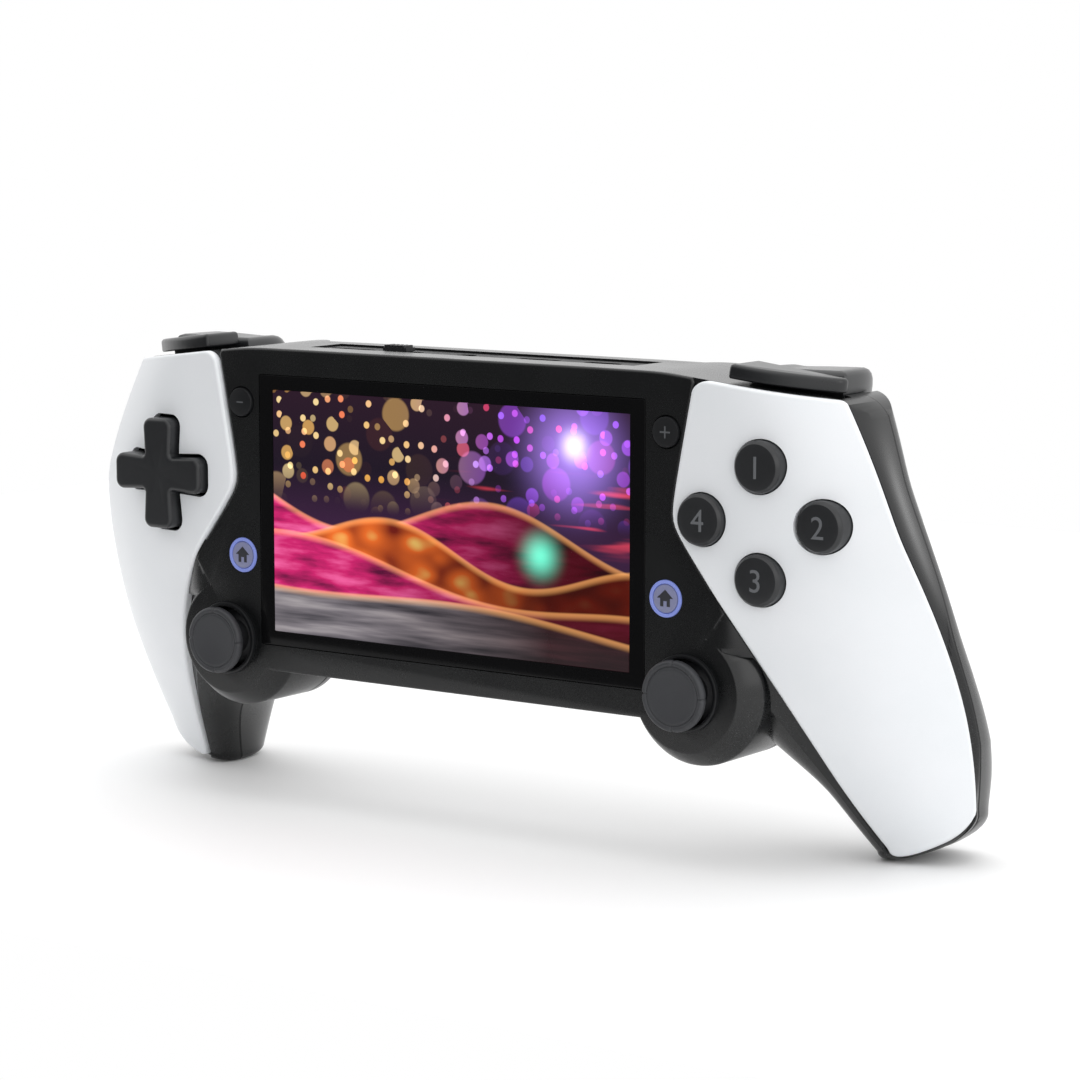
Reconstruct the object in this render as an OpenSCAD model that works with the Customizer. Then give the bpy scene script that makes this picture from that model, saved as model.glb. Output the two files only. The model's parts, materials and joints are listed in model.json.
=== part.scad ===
// Handheld game console with a flat face, two swept grips, thumb sticks, buttons, bumpers and triggers.
// X runs to the right, Y runs from the face to the back, Z runs up. The grip tips stand at Z = 0.

/* [Display] */
// Width of the lit picture
display_w = 95; // [80:1:116]
// Height of the lit picture
display_h = 54; // [44:1:66]
// Dark border of the lens beside the picture
lens_border_x = 3.7; // [2:0.1:6]
// Dark border of the lens above and below the picture
lens_border_z = 3.2; // [2:0.1:6]
// Thickness of the lens
lens_t = 1.2; // [0.8:0.1:1.6]

/* [Body] */
// Face left above and below the lens
face_margin = 6; // [5:0.5:9]
// Face between the lens and the side panel
key_strip = 7.2; // [6.8:0.2:10]
// Depth of the middle of the body
body_d = 24; // [23:0.5:30]
// Depth of the seam between the front and rear shells
seam_d = 21; // [20:0.5:22]
// Wall of the shells
wall = 2; // [1.6:0.1:2.6]
// Thickness of the face plate
plate_t = 2.2; // [2:0.1:2.8]

/* [Grips] */
// Reach of a grip outside the panel's inner edge
grip_reach = 54; // [48:1:66]
// Drop of the panel's tip below the middle of the screen
grip_drop = 64; // [52:1:78]
// Thickness of a side panel
panel_t = 1.8; // [1.4:0.1:2.2]
// Height of a side panel above the face
panel_proud = 1.1; // [0.8:0.1:1.4]

/* [Controls] */
// Distance from the panel's inner edge to the middle of the button cluster
cluster_in = 20.4; // [18:0.2:23]
// Height of the button cluster above the middle of the screen
cluster_up = 6.6; // [4:0.2:8]
// Radius of a face button
face_button_r = 5.4; // [4.4:0.1:6]
// Sideways spread of the face buttons
face_spread_x = 13; // [12.8:0.1:13.4]
// Upright spread of the face buttons
face_spread_z = 11.5; // [10.8:0.1:12.4]
// Span of the directional pad
dpad_span = 25; // [20:0.5:28]
// Width of an arm of the directional pad
dpad_arm = 8; // [6.5:0.1:9]
// Radius of the small plus and minus buttons
small_button_r = 3.2; // [2.6:0.1:3.6]
// Radius of the lit buttons
lit_button_r = 3; // [2.5:0.1:3.4]
// Travel of the face buttons
button_travel = 1.2; // [0.8:0.1:1.4]
// Travel of the small buttons
small_travel = 0.6; // [0.4:0.1:0.8]

/* [Sticks] */
// Radius of a stick's cap
stick_cap_r = 7.5; // [6.2:0.1:7.8]
// Radius of the drum that carries a stick
drum_r = 16; // [15:0.5:18]
// Radius of the flat end of the drum
drum_face_r = 12.5; // [12:0.1:13]
// Distance of a stick's axis from the panel's knee
stick_out = 2.8; // [1:0.2:4]
// Height of a stick's axis below the middle of the screen
stick_down = 29.8; // [28:0.2:32]

/* [Shoulders] */
// Length of a trigger along the shoulder
trigger_w = 22.4; // [18:0.2:24]
// Depth of a trigger
trigger_d = 20; // [16:0.5:22]
// Length of a bumper along the shoulder
bumper_w = 22; // [19:0.2:26]
// Thickness of a bumper
bumper_t = 3; // [2.4:0.1:3.6]
// Radius of the trigger pin
trigger_pin_r = 1; // [0.8:0.05:1.2]

/* [Top sockets] */
// Length of the socket strip
strip_w = 86; // [80:1:90]
// Radius of the headphone socket
jack_r = 1.8; // [1.75:0.05:2]

/* [Hidden] */
$fn = 48;

shell_black = "#27292b";
key_black = "#303234";
panel_white = "#e3e6e9";
rubber_grey = "#3a3b3d";
board_green = "#1f5a3c";
steel = "#b4b8bc";

// Clearances between pieces that move, pieces that fit, and pieces that are glued or screwed together
run_gap = 0.25;
seat_gap = 0.1;
pin_gap = 0.06;
seam_gap = 0.1;
past = 1;

// Face
lens_w = display_w + 2 * lens_border_x;
lens_h = display_h + 2 * lens_border_z;
face_top = lens_h / 2 + face_margin;
gasket_t = 0.6;
display_t = 2.5;
display_margin = 1.8;
display_back = plate_t + gasket_t + display_t;
window_gap = 0.4;
knee_x = lens_w / 2 + key_strip;
key_x = lens_w / 2 + key_strip - 2;
minus_z = face_top - 12.4;
lit_z = -10.6;

// Heights in the wing's formulas are taken on a wing with these reaches above and below the screen's middle
top_ref = 36.2;
drop_ref = 64;
knee_z = 5.4;
lower_z = -10;
function level(h) = h < 0 ? h * drop_ref / grip_drop : h * top_ref / face_top;
// A smooth step from 0 to a straight rise, rounded over the length r
function ramp(v, r) = v / 2 + sqrt(v * v / 4 + r * r);
function below(h) = max(0, lower_z - level(h));

// Inner edge of the side panel: it leans, turns at the knee and then sweeps out and back
function lean_x(h) = knee_x - 1 + 0.2 * (level(h) - knee_z);
function slant_x(h) = knee_x - 1 - 0.78 * (level(h) - knee_z);
function inner_x(h) = level(h) > lower_z
  ? slant_x(h) + ramp(lean_x(h) - slant_x(h), 1.3)
  : knee_x - 1 + 0.78 * (knee_z - lower_z) + 0.62 * below(h) - 0.004 * pow(below(h), 2)
    + 1.8 * pow(max(0, (-45 - level(h)) / 18.5), 2);
function inner_y(h) = -panel_proud + 0.30 * below(h) + 0.0047 * pow(below(h), 2);

// The tip of the grip rises towards its outer side
tip_rise = 8.2;
function tip_ease(h) = pow(max(0, (-20 - level(h)) / (drop_ref - 20)), 2);
function outer_level(h) = level(h) + tip_rise * tip_ease(h);

// Outer edge of the side panel
function outer_x(h) = knee_x + grip_reach - 19.4 * pow(abs(outer_level(h) + 34) / 65.3, 1.85);
function outer_y(h) = 8.7 + ramp(0.44 * (4.5 - outer_level(h)), 1);

// Front of a section: one cubic curve from the inner to the outer edge
function chord(h) = (outer_y(h) - inner_y(h)) / (outer_x(h) - inner_x(h));
function start_slope(h) = 0.8 * max(0, chord(h) - 0.24);
function end_slope(h) = chord(h) + 0.44;
function front_controls(h) = let (w = outer_x(h) - inner_x(h)) [
  [inner_x(h), inner_y(h)],
  [inner_x(h) + 0.45 * w, inner_y(h) + 0.45 * w * start_slope(h)],
  [outer_x(h) - 0.35 * w, outer_y(h) - 0.35 * w * end_slope(h)],
  [outer_x(h), outer_y(h)]
];
function curve(p, t) =
  pow(1 - t, 3) * p[0] + 3 * t * pow(1 - t, 2) * p[1] + 3 * t * t * (1 - t) * p[2] + pow(t, 3) * p[3];
function heading(p, t) =
  pow(1 - t, 2) * (p[1] - p[0]) + 2 * t * (1 - t) * (p[2] - p[1]) + t * t * (p[3] - p[2]);
function inward(p, t) = let (d = heading(p, t)) [-d[1], d[0]] / norm(d);
function front_point(h, t, deep) = let (p = front_controls(h)) curve(p, t) + deep * inward(p, t);

// Depth of the panel's face at a place, found by halving
function face_t(x, h, lo = 0, hi = 1, n = 14) = let (mid = (lo + hi) / 2)
  n == 0 ? mid : front_point(h, mid, 0)[0] < x ? face_t(x, h, mid, hi, n - 1) : face_t(x, h, lo, mid, n - 1);
function face_y(x, h) = front_point(h, face_t(x, h), 0)[1];

// The sides and the back of a section
wing_root_x = knee_x - 8.4;
function seam_y(h) = seam_d + 0.0098 * pow(max(0, -25 - level(h)), 2);
// On the outer side the seam keeps behind the panel's edge
function outer_seam_y(h) = seam_y(h) + ramp(outer_y(h) + 2.5 - seam_y(h), 1);
function root_x(h) = max(wing_root_x, inner_x(h) - 8 + 2.8 * tip_ease(h) - ramp(0.9 * (level(h) + 50), 1.5));
function side_x(h) = outer_x(h) + min(1, max(-1.5, -0.1 * (outer_level(h) + 5)))
  + 0.2 * max(0, level(h) - 14);
grip_sweep = 20.5;
function back_y(h) = body_d + 6.5 + grip_sweep * (1 - cos(180 * min(1, max(0, -level(h)) / 56))) / 2;

front_steps = 8;
side_steps = 4;
back_steps = 12;
// Front half of a section, from the seam on the inner side round to the seam on the outer side; it passes the
// seam by the length over_seam
function front_ring(h, deep, thin, over_seam) = let (
    a = [root_x(h) + thin, seam_y(h) + over_seam],
    b = [side_x(h) - thin, outer_seam_y(h) + over_seam],
    p = front_point(h, 0, deep),
    q = front_point(h, 1, deep),
    into = [a, a - [0, 0.5 * (a[1] - p[1])], p - 0.5 * (p[0] - a[0]) * [1, start_slope(h)], p],
    round = [q, q + 0.35 * (b[1] - q[1]) * [0.35, 1], b - [0, 0.4 * (b[1] - q[1])], b]
  ) concat(
    [for (i = [0:side_steps - 1]) curve(into, i / side_steps)],
    [for (i = [0:front_steps]) front_point(h, i / front_steps, deep)],
    [for (i = [1:side_steps]) curve(round, i / side_steps)]
  );
function back_ring(h, thin, over_seam) = let (
    mid = (root_x(h) + side_x(h)) / 2,
    half = (side_x(h) - root_x(h)) / 2 - thin,
    middle = (outer_seam_y(h) + seam_y(h)) / 2,
    tilt = (outer_seam_y(h) - seam_y(h)) / 2
  ) concat(
    over_seam > 0 ? [[mid + half, middle + tilt - over_seam]] : [],
    [for (i = [0:back_steps]) let (
        a = 180 * i / back_steps,
        along = sign(cos(a)) * pow(abs(cos(a)), 0.8),
        base = middle + tilt * along
      ) [mid + half * along, base + (back_y(h) - thin - base) * pow(sin(a), 0.8)]],
    over_seam > 0 ? [[mid - half, middle - tilt - over_seam]] : []
  );
function panel_ring(h) = concat(
    [for (i = [0:front_steps]) front_point(h, i / front_steps, 0)],
    [for (i = [0:front_steps]) front_point(h, 1 - i / front_steps, panel_t)]
  );
// A section is level at the top and tilts towards the tip
function lift(h, p) = let (from_edge = p[0] - inner_x(h))
  h + tip_rise * tip_ease(h) * (from_edge < 0 ? 0.6 : 1) * from_edge / (outer_x(h) - inner_x(h));
function stand(h, ring) = [for (p = ring) [p[0], p[1], lift(h, p)]];

// The rounded end of the grip: the last section shrinks about its middle as it drops
dome = [[0.985, 0.7], [0.9, 1.8], [0.7, 2.5], [0.4, 2.8]];
dome_mid = [root_x(-grip_drop) + side_x(-grip_drop), seam_y(-grip_drop) + outer_seam_y(-grip_drop)] / 2;
function shrink(ring, k, drop) = let (m = dome_mid)
  [for (p = ring) let (q = m + k * ([p[0], p[1]] - m)) [q[0], q[1], lift(-grip_drop, q) - drop]];
top_steps = 6;
drop_steps = 9;
levels = concat(
  [for (i = [0:top_steps - 1]) face_top * pow(1 - i / top_steps, 1.2)],
  [for (i = [0:drop_steps]) -grip_drop * i / drop_steps]
);
cavity_levels = [for (h = levels) if (h > -grip_drop * 0.93) h];
shell_under = panel_t + 0.06;
function front_rings() = concat(
  [for (h = levels) stand(h, front_ring(h, shell_under, 0, -seam_gap))],
  [for (d = dome) shrink(front_ring(-grip_drop, shell_under, 0, -seam_gap), d[0], d[1])]);
function back_rings() = concat(
  [for (h = levels) stand(h, back_ring(h, 0, 0))],
  [for (d = dome) shrink(back_ring(-grip_drop, 0, 0), d[0], d[1])]);

// The origin lies under the middle of the box that holds the console
stick_x = knee_x + stick_out;
stick_z = -stick_down;
cap_front = -5.2;
cap_back = -3.1;
low_point = min([for (r = concat(front_rings(), back_rings())) for (p = r) p[2]]);
back_point = max([for (r = back_rings()) for (p = r) p[1]]);
shift_y = -(back_point + cap_front) / 2;
shift_z = -low_point;

// Shapes that repeat
module place() { translate([0, shift_y, shift_z]) children(); }
module on_side(s) {
  if (s > 0) children();
  else mirror([1, 0, 0]) children();
}
module both_sides() {
  children();
  mirror([1, 0, 0]) children();
}
// A round bar along Y
module bar_y(x, z, r, y0, y1) { translate([x, y0, z]) rotate([-90, 0, 0]) cylinder(r = r, h = y1 - y0); }
module cone_y(x, z, r0, r1, y0, y1) {
  translate([x, y0, z]) rotate([-90, 0, 0]) cylinder(r1 = r0, r2 = r1, h = y1 - y0);
}
module tube_y(x, z, r_in, r_out, y0, y1) {
  difference() {
    bar_y(x, z, r_out, y0, y1);
    bar_y(x, z, r_in, y0 - past, y1 + past);
  }
}
// An outline in X and Z, thick from y0 to y1
module slab_y(y0, y1) { translate([0, y1, 0]) rotate([90, 0, 0]) linear_extrude(y1 - y0) children(); }
module block(low, high) { translate(low) cube(high - low); }
// A skin over rings of points; turned says which diagonal splits its quads
module loft(rings, turned = false) {
  n = len(rings[0]);
  m = len(rings);
  function quad(a, b, c, d) = turned ? [[a, b, d], [b, c, d]] : [[a, b, c], [a, c, d]];
  polyhedron(
    points = [for (r = rings) for (p = r) p],
    faces = concat(
      [for (j = [0:m - 2]) for (i = [0:n - 1])
        each quad(j * n + i, j * n + (i + 1) % n, (j + 1) * n + (i + 1) % n, (j + 1) * n + i)],
      [[for (i = [0:n - 1]) n - 1 - i]],
      [[for (i = [0:n - 1]) (m - 1) * n + i]]
    ));
}

// The shoulder has a frame of its own: x along the slanted top edge, z square to it
shoulder_x = knee_x + 7.6;
shoulder_z = face_top - 1.4;
shoulder_slope = 7.1;
module at_shoulder() { translate([shoulder_x, 0, shoulder_z]) rotate([0, shoulder_slope, 0]) children(); }
module bar_x(y, z, r, x0, x1) { translate([x0, y, z]) rotate([0, 90, 0]) cylinder(r = r, h = x1 - x0); }
trigger_front = 15.2;
trigger_x0 = 0.8;
trigger_pin_y = trigger_front + 3;
trigger_pin_z = -3;
trigger_floor = -7;
pocket_x0 = trigger_x0 - 0.5;
pocket_x1 = trigger_x0 + trigger_w + 0.5;
bumper_x0 = 2.7;
bumper_gap = 0.75;
bumper_pin_y = 12.4;
bumper_pin_z = -2.4;
bumper_pin_r = 0.8;
bumper_floor = -4.6;
bumper_back = trigger_front - 0.6;
lug_back = trigger_front - 1;
lug_front = 10.8;
bumper_pocket_x0 = bumper_x0 - 0.5;
bumper_pocket_x1 = bumper_x0 + bumper_w + 0.5;
pocket_front = 10.2;
over = 30;
module shoulder_cut(drop) {
  at_shoulder() translate([-12, -over, -drop]) cube([70, 3 * over, over]);
}
module shoulder_pockets(grow) {
  at_shoulder() {
    block([pocket_x0 - grow, trigger_front - 0.4 - grow, trigger_floor - grow],
      [pocket_x1 + grow, 3 * over, over]);
    block([bumper_pocket_x0 - grow, pocket_front - grow, bumper_floor - grow],
      [bumper_pocket_x1 + grow, trigger_front + grow, over]);
  }
}
module shoulder_pin_holes() {
  at_shoulder() {
    bar_x(trigger_pin_y, trigger_pin_z, trigger_pin_r + seat_gap / 2, pocket_x0 - 1.3, pocket_x1 + 1.3);
    bar_x(bumper_pin_y, bumper_pin_z, bumper_pin_r + seat_gap / 2,
      bumper_pocket_x0 - 1.3, bumper_pocket_x1 + 1.3);
  }
}

// Places of the controls
cluster_x = knee_x + cluster_in;
cluster_z = cluster_up;
face_places = [
  [cluster_x, cluster_z + face_spread_z], [cluster_x + face_spread_x, cluster_z],
  [cluster_x, cluster_z - face_spread_z], [cluster_x - face_spread_x, cluster_z]
];
flange_t = 1;
flange_y = 10.4;
button_board_y = flange_y + flange_t + button_travel + 1.8;
button_board_t = 1.4;
membrane_t = 0.8;
dome_t = 0.7;
sleeve_t = 1.2;
button_hole_r = face_button_r + run_gap;
function well_y(p) = face_y(p[0] + face_button_r + sleeve_t, p[1]) + panel_t * 1.2 + 0.3;
board_posts = [
  [key_x + 3.2, minus_z - 5.8], [key_x + 5.6, lit_z - 0.9], [cluster_x + face_spread_x - 1.8, lit_z - 0.9]
];
dpad_front = -3.6;
dpad_pivot_y = 3;
dpad_back = 8.5;
dpad_hole_gap = 0.8;
dpad_ball_r = 2.2;
// Outline of the directional pad, grown by g: four arms, each a little wider at its end
function cross(g) = let (
    a = dpad_arm / 2 - 0.3 + g,
    b = dpad_arm / 2 + 0.2 + g,
    s = dpad_span / 2 + g,
    c = 1.2,
    arm = [[a, a], [s - 3, b], [s - c, b], [s, b - c], [s, c - b], [s - c, -b], [s - 3, -b]]
  ) [for (k = [0:3]) for (p = arm) let (q = -90 * k)
    [p[0] * cos(q) - p[1] * sin(q), p[0] * sin(q) + p[1] * cos(q)]];
module cross_y(g, y0, y1) {
  translate([cluster_x, 0, cluster_z]) slab_y(y0, y1) polygon(cross(g));
}

// Sticks
stick_pivot_y = 10;
collar_front = -0.9;
collar_in_r = stick_cap_r - 0.3;
collar_out_r = collar_in_r + 1;
stick_hole_r = collar_in_r + 0.45;
module_base_y = 15.5;
module_base_t = 1.5;
post_ring_r = drum_face_r - 1.3;
post_r = 1.6;
stick_posts = [for (a = [45:90:315]) [stick_x + post_ring_r * cos(a), stick_z + post_ring_r * sin(a)]];

// Screw bosses and board standoffs
boss_x = lens_w / 2 - 6.4;
boss_z = face_top - 4.7;
boss_r = 2.4;
boss_places = [for (sx = [-1, 1]) for (sz = [-1, 1]) [sx * boss_x, sz * boss_z]];
screw_r = 1;
screw_head_r = 2;
screw_head_t = 1.5;
board_y = display_back + 2.7;
board_t = 1.6;
standoff_x = display_w / 2 - 7.5;
standoff_z = display_h / 2 - 4;
standoff_places = [for (sx = [-1, 1]) for (sz = [-1, 1]) [sx * standoff_x, sz * standoff_z]];

// Socket strip in the top
strip_y0 = 8;
strip_d = 11;
strip_mid_y = strip_y0 + strip_d / 2;
strip_t = 1.2;
strip_sink = 0.5;
strip_top = face_top - strip_sink;
strip_low = strip_top - strip_t;
card_x = -35;
switch_x = -21;
jack_x = -4.3;
video_x = 15;
charge_x = 31.5;
card_mouth = [12, 1.6];
video_mouth = [10.6, 2.8];
charge_mouth = [9.2, 3.3];
switch_mouth = [9.6, 2.4];
switch_travel = 3;
slider_stem = [switch_mouth[0] - switch_travel - 0.6, 1.8];
socket_board_z = face_top - 8.4;
socket_board_t = 1.2;
jack_len = 14;
jack_half = 3;

// Shells
module wing_front() { loft(front_rings()); }
module wing_front_cavity() {
  loft([for (h = cavity_levels) stand(h, front_ring(h, shell_under + wall, wall, past))]);
}
// The front half of the grip with a little room round it, for the rear drum to end at
module wing_front_room() {
  loft([for (h = levels) if (h <= 0) stand(h, front_ring(h, shell_under - 0.15, -0.15, 0))]);
}
module wing_back() { loft(back_rings(), true); }
module wing_back_cavity() {
  loft([for (h = cavity_levels) stand(h, back_ring(h, wall, past))], true);
}

// The face ends a hair inside the panels' edges and reaches into the drums
panel_slit = 0.35;
face_edge = concat(
  [for (i = [0:16]) let (h = face_top - i * (face_top - lower_z + 1) / 16) [inner_x(h) - panel_slit, h]],
  [[stick_x + 0.9 * drum_face_r * cos(40), stick_z + 0.9 * drum_face_r * sin(40)]],
  [[stick_x, stick_z], [stick_x, -face_top]]
);
module face_outline() {
  polygon(concat(face_edge, [for (i = [len(face_edge) - 1:-1:0]) [-face_edge[i][0], face_edge[i][1]]]));
}
core_x = knee_x - 3;
drum_cone_d = 4.9;
module front_shell_outside() {
  slab_y(0, plate_t) face_outline();
  block([-core_x, plate_t / 2, -face_top], [core_x, seam_d - seam_gap, face_top]);
  both_sides() {
    wing_front();
    cone_y(stick_x, stick_z, drum_face_r, drum_r, 0, drum_cone_d);
    bar_y(stick_x, stick_z, drum_r, drum_cone_d, seam_d - seam_gap);
  }
}
module front_shell_inside() {
  difference() {
    union() {
      block([wall - core_x, plate_t, wall - face_top], [core_x - wall, seam_d + past, face_top - wall]);
      both_sides() {
        wing_front_cavity();
        block([core_x - wall - past, plate_t, lit_z - 4.4], [key_x + 5, seam_d + past, minus_z + 4.4]);
        cone_y(stick_x, stick_z, drum_face_r - 1, drum_r - wall, plate_t, drum_cone_d + wall);
        bar_y(stick_x, stick_z, drum_r - wall, drum_cone_d + wall, seam_d + past);
      }
    }
    both_sides() {
      shoulder_cut(wall);
      shoulder_pockets(wall);
    }
  }
}
module front_shell_posts() {
  for (p = boss_places) bar_y(p[0], p[1], boss_r, plate_t - 0.5, seam_d);
  both_sides() for (p = stick_posts) bar_y(p[0], p[1], post_r, plate_t - 0.5, module_base_y);
  for (p = face_places) bar_y(p[0], p[1], button_hole_r + sleeve_t, well_y(p), flange_y - run_gap);
  both_sides() for (p = board_posts)
    bar_y(p[0], p[1], post_r, max(plate_t - 0.5, face_y(p[0] + post_r, p[1]) + 1.2 * panel_t + 0.4),
      button_board_y);
}
module key_holes(r_small, r_lit) {
  both_sides() {
    bar_y(key_x, minus_z, r_small, -past, plate_t + past);
    bar_y(key_x, lit_z, r_lit, -past, plate_t + past);
  }
}
ring_r = lit_button_r + 1.15;
module front_shell() {
  color(shell_black) place() difference() {
    union() {
      difference() {
        front_shell_outside();
        front_shell_inside();
        both_sides() {
          shoulder_cut(0);
          shoulder_pockets(0);
          shoulder_pin_holes();
          bar_y(stick_x, stick_z, stick_hole_r, -past, plate_t + past);
        }
        block([-lens_w / 2 - seat_gap, -past, -lens_h / 2 - seat_gap],
          [lens_w / 2 + seat_gap, lens_t + 0.05, lens_h / 2 + seat_gap]);
        block([-display_w / 2 - window_gap, -past, -display_h / 2 - window_gap],
          [display_w / 2 + window_gap, plate_t + past, display_h / 2 + window_gap]);
        key_holes(small_button_r + 0.15, ring_r + seat_gap / 2);
        block([-strip_w / 2 - seat_gap, strip_y0 - seat_gap, strip_low],
          [strip_w / 2 + seat_gap, strip_y0 + strip_d + seat_gap, face_top + past]);
        block([1.2 - strip_w / 2, strip_y0 + 1, face_top - wall - past],
          [strip_w / 2 - 1.2, strip_y0 + strip_d - 1, face_top]);
      }
      front_shell_posts();
    }
    for (p = face_places) {
      bar_y(p[0], p[1], button_hole_r, -8, flange_y);
      bar_y(p[0], p[1], button_hole_r + sleeve_t, flange_y - run_gap, flange_y + 4);
    }
    mirror([1, 0, 0]) cross_y(dpad_hole_gap, -8, dpad_back + 4);
    for (p = boss_places) bar_y(p[0], p[1], screw_r + 0.05, seam_d - 10, seam_d + past);
  }
}
drum_back_d = body_d + 3;
module rear_shell_outside() {
  block([-core_x, seam_d, -face_top], [core_x, body_d, face_top]);
  both_sides() {
    wing_back();
    difference() {
      union() {
        bar_y(stick_x, stick_z, drum_r, seam_d, body_d - 1);
        cone_y(stick_x, stick_z, drum_r, drum_r - 4, body_d - 1, drum_back_d);
      }
      wing_front_room();
    }
  }
}
module rear_shell_inside() {
  difference() {
    union() {
      block([wall - core_x, seam_d - past, wall - face_top], [core_x - wall, body_d - wall, face_top - wall]);
      both_sides() {
        wing_back_cavity();
        bar_y(stick_x, stick_z, drum_r - wall, seam_d - past, body_d - wall);
      }
    }
    both_sides() {
      shoulder_cut(wall);
      shoulder_pockets(wall);
    }
  }
}
module rear_shell() {
  color(shell_black) place() difference() {
    union() {
      difference() {
        rear_shell_outside();
        rear_shell_inside();
        both_sides() {
          shoulder_cut(0);
          shoulder_pockets(0);
        }
      }
      for (p = boss_places) bar_y(p[0], p[1], boss_r, seam_d, body_d - 0.5);
      for (p = standoff_places) bar_y(p[0], p[1], 2.2, board_y + board_t, body_d - 0.5);
    }
    for (p = boss_places) {
      bar_y(p[0], p[1], screw_r + 0.15, seam_d - past, body_d + past);
      bar_y(p[0], p[1], screw_head_r + 0.2, body_d - screw_head_t - 0.1, body_d + past);
    }
    for (p = standoff_places) bar_y(p[0], p[1], 0.9, board_y, board_y + board_t + 7);
  }
}
module panel() {
  difference() {
    loft([for (h = levels) stand(h, panel_ring(h))], true);
    shoulder_cut(0);
    children();
  }
}
module left_panel() { color(panel_white) place() on_side(-1) panel() cross_y(dpad_hole_gap, -8, 12); }
module right_panel() {
  color(panel_white) place() panel() for (p = face_places) bar_y(p[0], p[1], button_hole_r, -8, 14);
}

// Screen
module screen_lens() {
  color("#181818") place() block([-lens_w / 2, 0, -lens_h / 2], [lens_w / 2, lens_t, lens_h / 2]);
}
display_half_w = display_w / 2 + display_margin;
display_half_h = display_h / 2 + display_margin;
module screen_gasket() {
  color("#101010") place() difference() {
    block([-display_half_w, plate_t, -display_half_h], [display_half_w, plate_t + gasket_t, display_half_h]);
    block([-display_w / 2 - window_gap, plate_t - past, -display_h / 2 - window_gap],
      [display_w / 2 + window_gap, plate_t + 2 * past, display_h / 2 + window_gap]);
  }
}
module display_panel() {
  color("#8a4a78") place()
    block([-display_half_w, plate_t + gasket_t, -display_half_h],
      [display_half_w, display_back, display_half_h]);
}

// Boards and battery
module main_board() {
  color(board_green) place() difference() {
    block([-display_half_w + 3, board_y, -display_half_h + 1],
      [display_half_w - 3, board_y + board_t, display_half_h - 3]);
    for (p = standoff_places) bar_y(p[0], p[1], 1, board_y - past, board_y + board_t + past);
  }
}
battery_t = 6.4;
module battery() {
  color("#5a6a80") place() block([8 - standoff_x, body_d - wall - battery_t, 2 - standoff_z],
    [standoff_x - 8, body_d - wall, standoff_z - 4]);
}
speaker_size = [16, 4, 5.4];
module speaker(s) {
  color("#2a2a2a") place() translate([s * 0.3 * display_w - speaker_size[0] / 2, 12, wall - face_top])
    cube(speaker_size);
}
module left_speaker() { speaker(-1); }
module right_speaker() { speaker(1); }
module board_screws() {
  color(steel) place() for (p = standoff_places) {
    bar_y(p[0], p[1], 1.7, board_y - 1.1, board_y);
    bar_y(p[0], p[1], 0.85, board_y - 0.2, board_y + board_t + 6);
  }
}
module case_screws() {
  color(steel) place() for (p = boss_places) {
    bar_y(p[0], p[1], screw_head_r, body_d - screw_head_t, body_d - 0.2);
    bar_y(p[0], p[1], screw_r, seam_d - 9, body_d - screw_head_t + 0.2);
  }
}
// A button board lies behind the panel, below the trigger's pocket, with a tongue behind the small buttons
module button_board(s) {
  color(board_green) place() on_side(s) slab_y(button_board_y, button_board_y + button_board_t)
    polygon([[key_x - 3, lit_z - 3.4], [cluster_x + face_spread_x, lit_z - 3.4],
      [cluster_x + face_spread_x, minus_z - 2], [key_x + 4.6, minus_z - 2],
      [key_x + 4.6, minus_z + 3], [key_x - 3, minus_z + 3]]);
}
module left_button_board() { button_board(-1); }
module right_button_board() { button_board(1); }
module face_membrane() {
  color("#6a6f74") place() {
    block([cluster_x - face_spread_x - 4, button_board_y - membrane_t, cluster_z - face_spread_z - 4],
      [cluster_x + face_spread_x - 1, button_board_y, cluster_z + face_spread_z + 4]);
    for (p = face_places) bar_y(p[0], p[1], 3, button_board_y - membrane_t - dome_t, button_board_y - 0.2);
  }
}
module dpad_membrane() {
  color("#6a6f74") place() on_side(-1) difference() {
    block([cluster_x - 13, button_board_y - membrane_t, cluster_z - 13],
      [cluster_x + 12, button_board_y, cluster_z + 13]);
    bar_y(cluster_x, cluster_z, 3, button_board_y - 2, button_board_y + past);
  }
}

// Directional pad: it rocks on a ball at the end of a post
module dpad_post() {
  color(steel) place() on_side(-1) {
    bar_y(cluster_x, cluster_z, 1.4, dpad_pivot_y + dpad_ball_r - 0.1, button_board_y - 0.5);
    bar_y(cluster_x, cluster_z, 2.6, button_board_y - 1.5, button_board_y);
  }
}
module dpad_pivot() {
  color("#d0d0d0") place() on_side(-1) difference() {
    translate([cluster_x, dpad_pivot_y, cluster_z]) sphere(dpad_ball_r);
    bar_y(cluster_x, cluster_z, 1.7, dpad_pivot_y + dpad_ball_r - 0.35, dpad_pivot_y + 5);
  }
}
module dpad() {
  color(key_black) place() on_side(-1) difference() {
    cross_y(0, dpad_front, dpad_back);
    translate([cluster_x, dpad_pivot_y, cluster_z]) sphere(dpad_ball_r + run_gap);
    bar_y(cluster_x, cluster_z, 2.6, dpad_pivot_y + 0.5, dpad_back + past);
  }
}

// Face buttons: a domed cap in a well, with a flange that keeps it in
button_proud = 1.9;
module face_button(k) {
  p = face_places[k];
  top = face_y(p[0], p[1]) - button_proud;
  color(key_black) place() {
    cone_y(p[0], p[1], face_button_r - 0.7, face_button_r, top, top + 0.7);
    bar_y(p[0], p[1], face_button_r, top + 0.7, flange_y + 0.2);
    bar_y(p[0], p[1], button_hole_r + sleeve_t - 0.4, flange_y, flange_y + flange_t);
  }
}
module face_button_1() { face_button(0); }
module face_button_2() { face_button(1); }
module face_button_3() { face_button(2); }
module face_button_4() { face_button(3); }

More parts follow.
